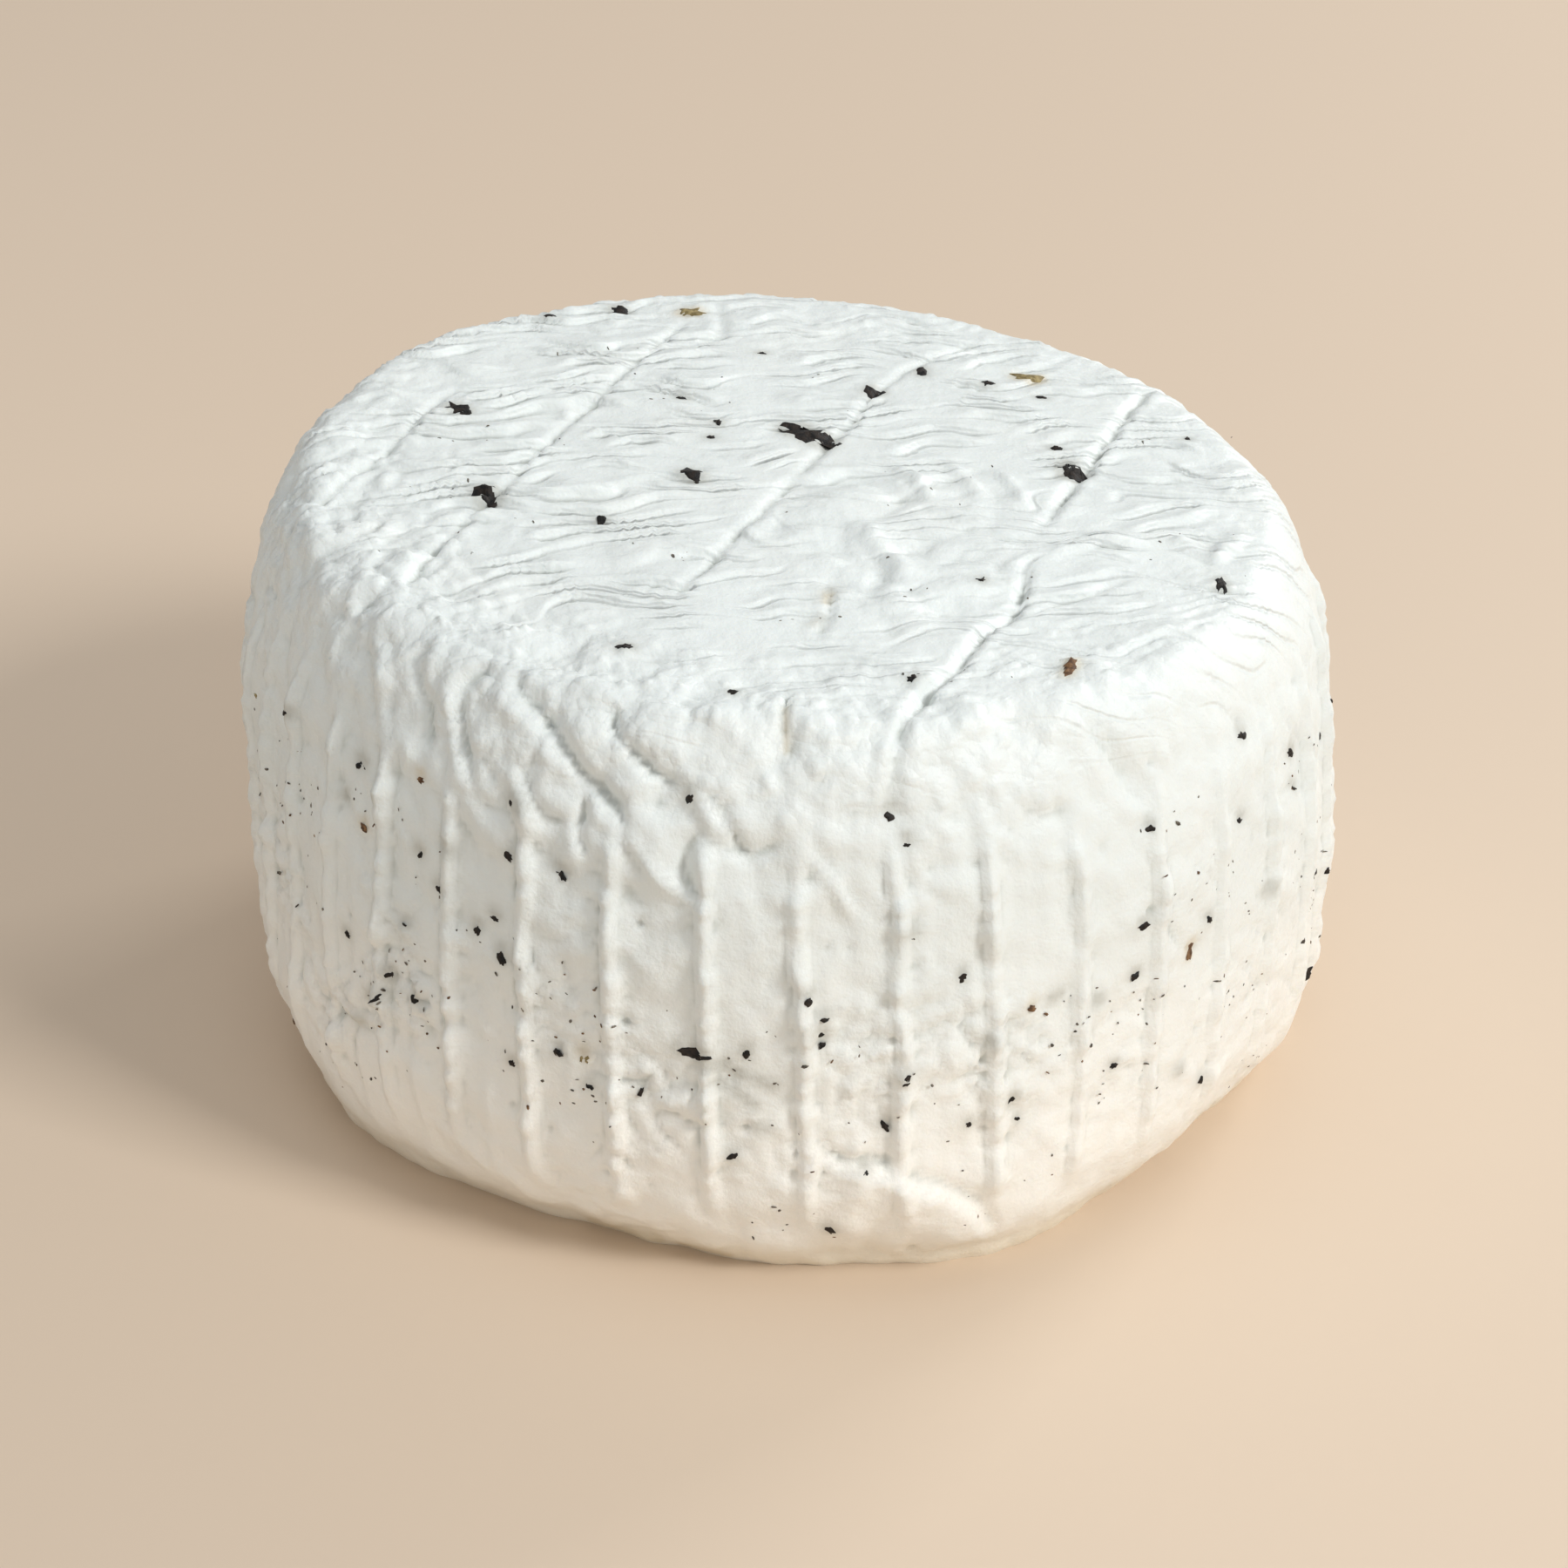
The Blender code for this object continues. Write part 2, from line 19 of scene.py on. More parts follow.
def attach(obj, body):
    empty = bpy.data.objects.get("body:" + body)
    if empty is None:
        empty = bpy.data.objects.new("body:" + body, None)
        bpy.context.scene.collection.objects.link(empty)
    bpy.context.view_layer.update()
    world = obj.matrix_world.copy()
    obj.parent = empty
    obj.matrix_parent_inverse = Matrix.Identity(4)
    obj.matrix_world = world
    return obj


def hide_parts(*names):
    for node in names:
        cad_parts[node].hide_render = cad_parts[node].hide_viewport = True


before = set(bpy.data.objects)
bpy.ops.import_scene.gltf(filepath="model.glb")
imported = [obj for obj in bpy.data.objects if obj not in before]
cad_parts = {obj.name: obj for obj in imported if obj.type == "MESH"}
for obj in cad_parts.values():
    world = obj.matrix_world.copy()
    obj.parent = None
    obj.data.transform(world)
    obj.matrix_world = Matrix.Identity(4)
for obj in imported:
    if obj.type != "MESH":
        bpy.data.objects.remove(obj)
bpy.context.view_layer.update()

log = logging.getLogger("primosale")

MM = 0.001
BODY = "root"
NODE = "cheese"
DRUM_RADIUS = 59.4

Array = np.ndarray
Line = Sequence[tuple[float, float]]
Fleck = tuple[float, float, float, float, float]
Feed = float | tuple[float, ...] | bpy.types.NodeSocket


def ease(t: Array | float) -> Array:
    """Returns a smooth step from 0 to 1 as t goes from 0 to 1."""
    t = np.clip(t, 0.0, 1.0)
    return t * t * (3.0 - 2.0 * t)


def bump(value: Array, centre: float, half_width: float) -> Array:
    """Returns a smooth hump of height 1 round centre that ends half_width away."""
    return ease(1.0 - np.abs(value - centre) / half_width)


def angle_off(azimuth: Array, centre: float) -> Array:
    """Returns how far azimuths lie from a centre, from -180 to 180 degrees."""
    return (azimuth - centre + 180.0) % 360.0 - 180.0


@dataclass(frozen=True)
class CurdGrain:
    """Repeatable noise that shapes the curd.

    Attributes:
        seed: seed of the random lattice.
        size: number of lattice cells each way before the noise repeats.
    """

    seed: int = 23
    size: int = 512
    table: Array = field(init=False, repr=False, compare=False)

    def __post_init__(self) -> None:
        """Draws the lattice's random numbers."""
        rng = np.random.default_rng(self.seed)
        object.__setattr__(self, "table", rng.uniform(0.0, 1.0, (self.size, self.size)))

    def draw(self, i: Array, j: Array, layer: int) -> Array:
        """Returns the random number of each lattice cell, from 0 to 1."""
        return self.table[i % self.size, (j + 61 * layer) % self.size]

    def smooth(self, x: Array, y: Array, layer: int, around: int = 0) -> Array:
        """Makes gradient noise with about one hump for each unit.

        Args:
            x: first coordinate.
            y: second coordinate.
            layer: which independent noise to read.
            around: number of units after which x comes back to its start, or 0.

        Returns:
            Values from about -1 to 1.
        """
        x, y = np.asarray(x, float), np.asarray(y, float)
        left, low = np.floor(x).astype(int), np.floor(y).astype(int)
        across, up = x - left, y - low
        total = np.zeros(np.broadcast(x, y).shape)
        for di in (0, 1):
            for dj in (0, 1):
                i = left + di
                if around:
                    i = i % around
                turn = 2.0 * math.pi * self.draw(i, low + dj, layer)
                slope = np.cos(turn) * (across - di) + np.sin(turn) * (up - dj)
                weight_x = ease(across) if di else 1.0 - ease(across)
                weight_y = ease(up) if dj else 1.0 - ease(up)
                total = total + slope * weight_x * weight_y
        return 1.5 * total

    def cells(self, x: Array, y: Array, layer: int, around: int = 0) -> tuple[Array, Array]:
        """Finds the nearest of one random point in each lattice cell.

        Args:
            x: first coordinate.
            y: second coordinate.
            layer: which independent set of points to read.
            around: number of units after which x comes back to its start, or 0.

        Returns:
            The distance to the nearest point, and that point's own random number from 0 to 1.
        """
        x, y = np.asarray(x, float), np.asarray(y, float)
        left, low = np.floor(x).astype(int), np.floor(y).astype(int)
        best = np.full(np.broadcast(x, y).shape, 9.0)
        own = np.zeros_like(best)
        for di in (-1, 0, 1):
            for dj in (-1, 0, 1):
                i = left + di
                held = i % around if around else i
                px = i + 0.1 + 0.8 * self.draw(held, low + dj, layer)
                py = low + dj + 0.1 + 0.8 * self.draw(held, low + dj, layer + 1)
                away = np.hypot(x - px, y - py)
                nearer = away < best
                best = np.where(nearer, away, best)
                own = np.where(nearer, self.draw(held, low + dj, layer + 2), own)
        return best, own


GRAIN = CurdGrain()


def line_distance(x: Array, y: Array, points: Line) -> tuple[Array, Array, float]:
    """Measures places against a line through points.

    Args:
        x: first coordinate of the places.
        y: second coordinate of the places.
        points: the line's corners.

    Returns:
        The distance, positive to the line's right, the length along it, and its whole length.
    """
    best = np.full(np.shape(x), 1e9)
    signed = np.zeros(np.shape(x))
    along = np.zeros(np.shape(x))
    start = 0.0
    for (ax, ay), (bx, by) in zip(points, points[1:]):
        length = math.hypot(bx - ax, by - ay)
        tx, ty = (bx - ax) / length, (by - ay) / length
        run = (x - ax) * tx + (y - ay) * ty
        held = np.clip(run, 0.0, length)
        away = np.hypot(x - ax - held * tx, y - ay - held * ty)
        side = np.where((x - ax) * ty - (y - ay) * tx >= 0.0, 1.0, -1.0)
        nearer = away < best
        best = np.where(nearer, away, best)
        signed = np.where(nearer, side * away, signed)
        along = np.where(nearer, start + run, along)
        start += length
    return signed, along, start


class FoldKind(Enum):
    """How a line in the curd stands out."""

    GROOVE = "groove"
    RIDGE = "ridge"


# Short names for the lists of folds.
GROOVE, RIDGE = FoldKind


@dataclass(frozen=True)
class Fold:
    """A line that the basket or the cloth left in the curd.

    Attributes:
        kind: whether it is sunk or raised.
        points: its corners.
        height: how deep or high it is.
        left: its width left of the line.
        right: its width right of the line.
        end: the length over which it fades at both ends.
    """

    kind: FoldKind
    points: Line
    height: float
    left: float
    right: float
    end: float = 7.0

    def relief(self, x: Array, y: Array) -> Array:
        """Returns how far the line raises or sinks each place."""
        signed, along, length = line_distance(x, y, self.points)
        fade = ease(along / self.end + 0.15) * ease((length - along) / self.end + 0.15)
        fade = fade * (0.85 + 0.4 * GRAIN.smooth(along / 4.0, self.points[0][0] + 0.0 * along, 50))
        side = np.where(signed < 0.0, 1.0 + signed / self.left, 1.0 - signed / self.right)
        profile = ease(side)
        if self.kind is GROOVE:
            lip = 0.12 * ease(1.0 - np.abs(signed - 1.7 * self.right) / self.right)
            return self.height * fade * (lip - profile)
        return self.height * fade * profile


@dataclass(frozen=True)
class Drum:
    """The plain drum: its wall, drawn-in foot, round shoulder, crowned top and lean."""

    radius: float = DRUM_RADIUS
    height: float = 63.6
    crown: float = 0.8
    top_tilt: float = 0.018
    lean: float = -5.75
    middle: tuple[float, float] = (2.7, -0.2)
    foot_height: float = 18.0
    foot_draw: float = 7.0
    foot_power: float = 2.4
    foot_oval: float = 0.06
    foot_oval_azimuth: float = 55.0
    foot_corner_power: int = 6
    lip_height: float = 2.6
    lip_reach: float = 0.7
    shoulder_width: float = 9.2
    shoulder_height: float = 31.0
    shoulder_power: float = 2.05
    foot_corners: tuple[tuple[float, float, float], ...] = (
        (-149.0, 24.0, 2.6),
        (-113.0, 24.0, -2.5),
        (-68.0, 20.0, 2.5),
        (-36.0, 16.0, -1.4),
        (2.0, 30.0, 2.0),
        (74.0, 30.0, 1.4),
        (128.0, 26.0, 1.8),
    )

    @property
    def rim(self) -> float:
        """Radius of the flat top."""
        return self.radius - self.shoulder_width

    def wall_radius(self, z: Array) -> Array:
        """Returns the round drum's radius at each height."""
        low = np.clip(1.0 - z / self.foot_height, 0.0, 1.0) ** self.foot_power
        edge = self.height - self.crown
        part = np.clip((z - edge + self.shoulder_height) / self.shoulder_height, 0.0, 1.0)
        power = self.shoulder_power
        round_in = 1.0 - (1.0 - part ** power) ** (1.0 / power)
        return self.radius - self.foot_draw * low - self.shoulder_width * round_in

    def profile(self, count: int) -> tuple[Array, Array]:
        """Returns evenly spaced heights up to the rim, and the wall's length from the base to each."""
        levels = np.linspace(0.0, self.height - self.crown, count)
        steps = np.hypot(np.diff(levels), np.diff(self.wall_radius(levels)))
        return levels, np.concatenate([[0.0], np.cumsum(steps)])

    def rolled_out(self, z: Array) -> Array:
        """Returns how far from the axis the wall lies at each height once it is rolled out flat."""
        levels, length = self.profile(400)
        return self.rim + length[-1] - np.interp(z, levels, length)

    def wall_normal(self, z: Array) -> tuple[Array, Array]:
        """Returns the outward and upward parts of the wall's normal at each height."""
        step = 0.05
        slope = (self.wall_radius(z + step) - self.wall_radius(z - step)) / (2.0 * step)
        size = np.hypot(1.0, slope)
        return 1.0 / size, -slope / size

    def foot_spread(self, azimuth: Array, z: Array) -> Array:
        """Returns how far the oval, cornered foot and its lip stand out of the round drum."""
        share = np.clip(1.0 - z / self.height, 0.0, 1.0)
        twice = np.radians(2.0 * (azimuth - self.foot_oval_azimuth))
        spread = self.radius * self.foot_oval * share * np.cos(twice)
        for centre, half_width, rise in self.foot_corners:
            corner = ease(1.0 - np.abs(angle_off(azimuth, centre)) / half_width)
            spread = spread + rise * corner * share ** self.foot_corner_power
        floor = np.zeros_like(z)
        uneven = 0.6 + 0.7 * wall_grain(azimuth, floor, 9.0, 8)
        uneven = uneven + 0.6 * wall_grain(azimuth, floor, 4.0, 9)
        return spread + self.lip_reach * uneven * ease(1.0 - z / self.lip_height)

    def top_level(self, x: Array, y: Array) -> Array:
        """Returns the plain top's height at places measured from its centre."""
        return self.height - self.crown * np.minimum((x * x + y * y) / self.rim ** 2, 1.0)

    def set_in_place(self, x: Array, y: Array, z: Array) -> Array:
        """Leans and tilts points of the upright drum, and centres the drum on the origin."""
        share = z / self.height
        middle_x, middle_y = self.middle
        moved = (x + self.lean * share + middle_x, y + middle_y, z + self.top_tilt * y * share)
        return np.stack(moved, -1)


def wall_grain(azimuth: Array, z: Array, size: float, layer: int, tall: float = 1.0) -> Array:
    """Reads the smooth noise on the unrolled wall.

    Args:
        azimuth: azimuths in degrees.
        z: heights.
        size: width of a hump.
        layer: which independent noise to read.
        tall: how many times taller than wide a hump is.

    Returns:
        Values from about -1 to 1.
    """
    cells = max(3, round(2.0 * math.pi * DRUM_RADIUS / size))
    return GRAIN.smooth(azimuth / 360.0 * cells, z / (size * tall), layer, around=cells)


def wall_cells(azimuth: Array, z: Array, size: float, layer: int,
               tall: float = 1.0) -> tuple[Array, Array]:
    """Reads the random points on the unrolled wall.

    Args:
        azimuth: azimuths in degrees.
        z: heights.
        size: width of a cell.
        layer: which independent set of points to read.
        tall: how many times taller than wide a cell is.

    Returns:
        The distance to the nearest point in cells, and that point's own random number.
    """
    cells = max(3, round(2.0 * math.pi * DRUM_RADIUS / size))
    return GRAIN.cells(azimuth / 360.0 * cells, z / (size * tall), layer, around=cells)


def looseness(azimuth: Array) -> Array:
    """Returns how loose the curd is round the drum, from 0.3 to 1."""
    return 0.3 + 0.7 * ease((np.cos(np.radians(azimuth + 120.0)) + 0.2) / 1.1)


@dataclass(frozen=True)
class ClothTop:
    """The top, which lay on the draining cloth: its grooves, folds, wrinkles and crumbs."""

    drum: Drum
    wrinkle_pitch: float = 3.4
    wrinkle_slope: float = math.tan(math.radians(15.0))
    wrinkle_height: float = 0.70
    wrinkle_trough: float = 0.74
    fine_share: float = 0.40
    streak_height: float = 0.70
    pad_height: float = 0.95
    dome_height: float = 0.28
    grain_height: float = 0.42
    lump_height: float = 0.50
    lump_size: float = 5.2
    soft_height: float = 0.35
    soft_size: float = 17.0
    folds: tuple[Fold, ...] = (
        Fold(GROOVE, ((-49.0, -14.0), (-44.0, 0.0), (-37.5, 18.0)), 0.8, 1.2, 0.7),
        Fold(GROOVE, ((-39.2, -32.0), (-28.0, 0.0), (-12.5, 42.5)), 0.65, 1.3, 0.6),
        Fold(GROOVE, ((-11.6, -31.0), (0.5, 0.0), (10.6, 26.0), (13.0, 32.0), (22.0, 42.0)),
             0.65, 1.2, 0.6),
        Fold(GROOVE, ((26.3, -9.0), (30.0, 2.0), (41.0, 33.0)), 1.0, 1.3, 0.8),
        Fold(GROOVE, ((8.6, -60.0), (14.0, -45.0), (19.5, -34.0), (23.0, -27.0), (25.0, -16.0)),
             1.2, 1.3, 0.8),
        Fold(GROOVE, ((21.5, -29.5), (28.0, -24.0), (36.0, -17.0)), 0.7, 1.2, 0.8),
        Fold(RIDGE, ((11.0, 6.0), (14.0, 1.0), (15.0, -4.0)), 0.5, 1.4, 1.2, 3.0),
        Fold(RIDGE, ((17.0, 7.0), (19.0, 2.0), (20.5, -3.0)), 0.5, 1.4, 1.2, 3.0),
        Fold(RIDGE, ((22.0, 6.0), (24.0, 1.0), (25.0, -3.0)), 0.5, 1.4, 1.2, 3.0),
        Fold(RIDGE, ((26.0, -15.0), (33.0, -10.0), (40.0, -8.5), (45.0, -11.0), (50.0, -4.0)),
             0.85, 2.4, 1.2),
        Fold(GROOVE, ((-9.0, 49.0), (-9.0, 37.0), (-15.0, 33.0)), 0.5, 1.5, 0.9),
        Fold(GROOVE, ((3.0, 38.0), (9.0, 44.0)), 0.5, 1.4, 0.9),
        Fold(GROOVE, ((27.0, 34.0), (33.0, 41.0)), 0.5, 1.2, 0.8),
        Fold(RIDGE, ((8.0, -8.0), (9.0, -14.0), (12.0, -20.0), (10.0, -27.0)), 0.7, 2.4, 1.6),
        Fold(RIDGE, ((-46.0, -12.0), (-40.0, -20.0), (-38.0, -30.0)), 0.3, 1.8, 1.4),
        Fold(GROOVE, ((4.2, -24.0), (4.5, -30.0), (3.0, -36.0)), 0.5, 0.7, 0.7, 3.0),
        Fold(GROOVE, ((0.8, -46.5), (0.2, -51.5), (1.0, -55.0)), 0.7, 0.5, 0.5, 2.5),
        Fold(RIDGE, ((-24.0, -26.5), (-17.0, -26.0), (-12.5, -25.0)), 0.5, 1.0, 0.8, 3.0),
        Fold(RIDGE, ((-29.0, -9.0), (-23.0, -7.5), (-19.0, -4.0), (-13.0, -1.0)), 0.45, 1.0, 0.8, 3.0),
        Fold(RIDGE, ((-20.0, -10.5), (-14.0, -6.5), (-8.0, -5.0)), 0.45, 1.0, 0.8, 3.0),
    )

    def wrinkle_phase(self, x: Array, y: Array, pitch: float, layer: int) -> Array:
        """Counts the wrinkles across the top: a whole number on each crest."""
        warp = 1.25 * GRAIN.smooth(x / (4.0 * pitch), y / (3.0 * pitch), layer)
        warp = warp + 0.45 * GRAIN.smooth(x / (1.8 * pitch), y / (1.5 * pitch), layer + 1)
        return (y - self.wrinkle_slope * x) / pitch + warp

    def terraces(self, x: Array, y: Array, pitch: float, layer: int) -> Array:
        """Returns overlapping wrinkles from 0 to 1, gentle on the far side and steep on the near."""
        part = self.wrinkle_phase(x, y, pitch, layer) % 1.0
        trough = self.wrinkle_trough
        return np.where(part < trough, 1.0 - part / trough, ease((part - trough) / (1.0 - trough)))

    def wrinkle_share(self, x: Array, y: Array) -> Array:
        """Returns how marked the wrinkles are at each place, from 0 to about 1."""
        stretch = ease(0.64 + 1.5 * GRAIN.smooth(x / 9.0, y / 5.5, 3))
        return stretch * (1.0 - 0.6 * self.crumb_share(x, y)) * (1.0 - 0.5 * self.pad_share(x, y))

    def wrinkles(self, x: Array, y: Array) -> Array:
        """Returns the wrinkles, broken into stretches, with finer ones between them."""
        fine_stretch = ease(0.45 + 1.5 * GRAIN.smooth(x / 8.0, y / 5.0, 10))
        broad = self.terraces(x, y, self.wrinkle_pitch, 1) - 0.45
        fine = self.terraces(x, y, 0.53 * self.wrinkle_pitch, 11) - 0.45
        strong = 1.0 + 0.5 * ease((-14.0 - x) / 10.0)
        total = strong * broad * self.wrinkle_share(x, y) + self.fine_share * fine * fine_stretch
        return self.wrinkle_height * total

    def loose_rim(self, x: Array, y: Array) -> Array:
        """Returns how far each place belongs to the loose rim, from 0 to 1."""
        azimuth = np.degrees(np.arctan2(y, x))
        return looseness(azimuth) ** 1.5 * ease((np.hypot(x, y) - 40.0) / 9.0)

    def pad_share(self, x: Array, y: Array) -> Array:
        """Returns how far the curd lies in smooth pads, in a patch and round the loose rim."""
        patch = ease(1.7 - np.hypot((x - 12.0) / 12.0, (y + 14.0) / 17.0))
        return np.maximum(patch, self.loose_rim(x, y))

    def streaks(self, x: Array, y: Array) -> Array:
        """Returns the torn, slanting strips of curd on the left of the top and over its rim."""
        rim = 0.5 * self.loose_rim(x, y)
        left = ease(1.6 - np.hypot((x + 44.0) / 13.0, (y + 18.0) / 22.0))
        along = 0.42 * x + 0.91 * y + 2.2 * GRAIN.smooth(x / 7.0, y / 7.0, 56)
        across = 0.91 * x - 0.42 * y + 1.6 * GRAIN.smooth(x / 5.0, y / 5.0, 45)
        wave = GRAIN.smooth(along / 6.0, across / 3.2, 46)
        patches = 0.35 + 0.65 * ease(0.5 + 1.3 * GRAIN.smooth(x / 9.0, y / 9.0, 57))
        height = self.streak_height * patches * np.maximum(rim, left)
        return height * (np.minimum(np.abs(wave) * 1.9, 1.0) - 0.5)

    def pads(self, x: Array, y: Array) -> Array:
        """Returns the smooth pads, like pillows with sharp creases between them."""
        bent_x = x + 2.4 * GRAIN.smooth(x / 6.0, y / 6.0, 52)
        bent_y = y + 2.4 * GRAIN.smooth(x / 6.0, y / 6.0, 53)
        away, _ = GRAIN.cells(bent_x / 7.5, bent_y / 5.5, 54)
        dome = np.clip(1.0 - 1.7 * away * away, 0.0, 1.0)
        return self.pad_height * self.pad_share(x, y) * (dome - 0.65)

    def crumb_share(self, x: Array, y: Array) -> Array:
        """Returns how crumbly each place is, from 0 to 1."""
        azimuth = np.degrees(np.arctan2(y, x))
        edge = looseness(azimuth) * ease((np.hypot(x, y) - 34.0) / 14.0)
        patch = 0.4 * ease(1.6 - np.hypot(x - 8.0, y + 20.0) / 11.0)
        left = 0.65 * ease(1.5 - np.hypot((x + 44.0) / 12.0, (y + 22.0) / 18.0))
        back = 0.35 * ease((y - 30.0) / 14.0)
        return np.maximum(np.maximum(edge, patch), np.maximum(left, back))

    def crumbs(self, x: Array, y: Array) -> Array:
        """Returns the grains of curd that show near the rim and in a patch left of it."""
        along = 0.9 * x + 0.44 * y
        across = 0.9 * y - 0.44 * x
        big, _ = GRAIN.cells(along / 3.3, across / 4.4, 15)
        small, own = GRAIN.cells(x / 1.8, y / 2.1, 18)
        domes = self.dome_height * np.clip(1.0 - 1.3 * big * big, 0.0, 1.0)
        grains = self.grain_height * ease(1.25 - 2.9 * small) * ease((own - 0.4) / 0.3)
        return self.crumb_share(x, y) * (domes + grains - 0.30)

    def height(self, x: Array, y: Array, stretch: Array | float = 1.0) -> Array:
        """Makes the whole relief.

        Args:
            x: first coordinate from the top's centre, seen from above.
            y: second coordinate.
            stretch: how many times farther out the place lies once the shoulder is rolled out flat.

        Returns:
            How far the curd stands out at each place.
        """
        bent_x = x + 0.5 * GRAIN.smooth(x / 9.0, y / 9.0, 20)
        bent_x = bent_x + 0.25 * GRAIN.smooth(x / 2.6, y / 2.6, 21)
        bent_y = y + 0.5 * GRAIN.smooth(x / 9.0, y / 9.0, 22)
        total = sum(fold.relief(bent_x, bent_y) for fold in self.folds)
        x, y = x * stretch, y * stretch
        total = total + self.wrinkles(x, y) + self.streaks(x, y) + self.pads(x, y)
        loose = self.crumb_share(x, y)
        lumps = GRAIN.smooth(x / self.lump_size, y / self.lump_size, 4)
        soft = GRAIN.smooth(x / self.soft_size, y / self.soft_size, 5)
        total = total + self.lump_height * lumps * (0.25 + 0.9 * loose)
        return total + self.soft_height * soft + self.crumbs(x, y)


@dataclass(frozen=True)
class BasketWall:
    """The wall, which lay against the draining basket: ribs, beads, panels, crumbs and folds."""

    drum: Drum
    ribs: int = 40
    rib_start: float = -143.0
    rib_crowding: float = 8.8
    rib_half_width: float = 1.22
    rib_height: float = 1.2
    rib_foot: float = 7.0
    rib_top: float = 55.0
    rib_fade: float = 9.0
    bead_pitch: float = 3.9
    faint_rib_height: float = 0.40
    dome_height: float = 0.55
    grain_height: float = 0.50
    belt_grain_height: float = 0.55
    pad_height: float = 1.2
    tear_height: float = 0.40
    dent_height: float = 0.15
    scale_height: float = 0.34
    belt_scale_height: float = 0.50
    pit_depth: float = 0.45
    lump_height: float = 0.42
    lump_size: float = 5.2
    soft_height: float = 0.55
    soft_size: float = 17.0
    folds: tuple[Fold, ...] = (
        Fold(GROOVE, ((-57.0, 62.5), (-54.0, 56.5), (-50.0, 50.5)), 1.2, 2.4, 1.6, 4.0),
        Fold(GROOVE, ((-67.5, 55.0), (-63.5, 53.4), (-59.5, 53.6)), 0.45, 0.9, 0.8, 3.0),
        Fold(GROOVE, ((-121.0, 62.5), (-112.5, 57.5), (-107.5, 54.5), (-104.0, 50.5)),
             1.2, 1.7, 0.9, 4.0),
        Fold(GROOVE, ((-109.5, 62.0), (-106.0, 59.0), (-103.0, 57.0), (-99.5, 56.0)),
             0.9, 1.4, 0.8, 3.0),
        Fold(GROOVE, ((-121.5, 63.0), (-125.5, 60.0), (-124.5, 57.0), (-121.0, 51.0)),
             0.9, 1.4, 0.9, 3.0),
        Fold(GROOVE, ((-133.0, 61.0), (-129.0, 57.0), (-127.0, 52.0)), 0.7, 1.3, 0.9, 3.0),
        Fold(GROOVE, ((-98.0, 52.5), (-93.0, 51.0), (-89.0, 52.5)), 0.55, 1.1, 0.9, 3.0),
        Fold(RIDGE, ((-105.5, 52.0), (-101.0, 47.0), (-97.0, 44.5)), 0.8, 1.0, 1.2, 3.0),
        Fold(RIDGE, ((-88.0, 52.0), (-85.0, 48.5), (-84.0, 44.0)), 0.8, 1.0, 1.2, 3.0),
        Fold(RIDGE, ((-137.5, 60.0), (-134.0, 53.0), (-132.0, 44.0)), 0.7, 1.6, 1.3, 5.0),
        Fold(RIDGE, ((-87.0, 16.5), (-80.0, 14.5), (-76.0, 12.5), (-72.0, 8.0), (-69.5, 3.0)),
             1.3, 1.0, 11.0, 4.0),
        Fold(GROOVE, ((-88.5, 18.3), (-80.5, 16.4), (-75.3, 13.8), (-70.6, 9.0), (-68.2, 4.0)),
             0.35, 1.2, 0.9, 4.0),
        Fold(GROOVE, ((-49.5, 38.5), (-47.0, 34.5), (-43.0, 31.5)), 0.5, 1.2, 0.8, 3.0),
        Fold(GROOVE, ((150.0, 60.0), (146.0, 55.0), (143.0, 49.0)), 0.55, 1.5, 1.1, 4.0),
        Fold(GROOVE, ((62.0, 61.0), (58.0, 56.0), (57.0, 50.0)), 0.55, 1.4, 1.0, 4.0),
        Fold(RIDGE, ((36.0, 4.0), (30.0, 10.0), (22.0, 13.0)), 0.5, 1.2, 9.0, 4.0),
    )

    def azimuth_of(self, turn: Array) -> Array:
        """Returns the azimuth of places given by their turn round the evenly divided basket."""
        return turn + self.rib_crowding * np.sin(np.radians(turn))

    def turn_of(self, azimuth: Array | float) -> Array | float:
        """Returns the turn whose azimuth is given."""
        turn = azimuth
        for _ in range(12):
            turn = azimuth - self.rib_crowding * np.sin(np.radians(turn))
        return turn

    def rib_relief(self, turn: Array, z: Array) -> Array:
        """Returns the beaded, ragged ribs, and the faint ones low between them in two stretches."""
        pitch = 360.0 / self.ribs
        azimuth = self.azimuth_of(turn)
        sway = 0.45 * wall_grain(azimuth, z, 11.0, 23, 0.8) + 0.16 * wall_grain(azimuth, z, 2.4, 42)
        count = (turn + sway - self.rib_start) / pitch
        nearest = np.round(count)
        off = (count - nearest) * pitch
        ragged = 1.0 + 0.30 * wall_grain(azimuth, z, 3.0, 24, 0.9)
        ragged = ragged + 0.22 * wall_grain(azimuth, z, 1.7, 49)
        half = self.rib_half_width * np.where(off < 0.0, 0.8, 1.15)
        rib = ease(1.35 * (1.0 - np.abs(off) / (half * ragged)))
        swing = 1.3 * GRAIN.smooth(z / 4.5, nearest * 0.37, 25)
        wave = np.sin(2.0 * math.pi * z / self.bead_pitch + 2.4 * nearest + 4.5 * swing)
        beads = 0.78 + wave * (0.09 + 0.13 * bump(angle_off(azimuth, -95.0), 0.0, 75.0))
        uneven = 1.0 + 0.45 * GRAIN.smooth(z / 6.5, nearest * 0.61 + 9.0, 26)
        edge = bump(angle_off(azimuth, -8.0), 0.0, 36.0)
        top = self.rib_top + 3.0 * bump(angle_off(azimuth, -150.0), 0.0, 36.0) + 6.0 * edge
        fade = ease((z - self.rib_foot) / self.rib_fade) * ease((top - z) / self.rib_fade)
        strength = np.minimum(0.5 + 0.5 * looseness(azimuth) + 0.4 * edge, 1.0)
        main = self.rib_height * rib * beads * uneven * fade * strength
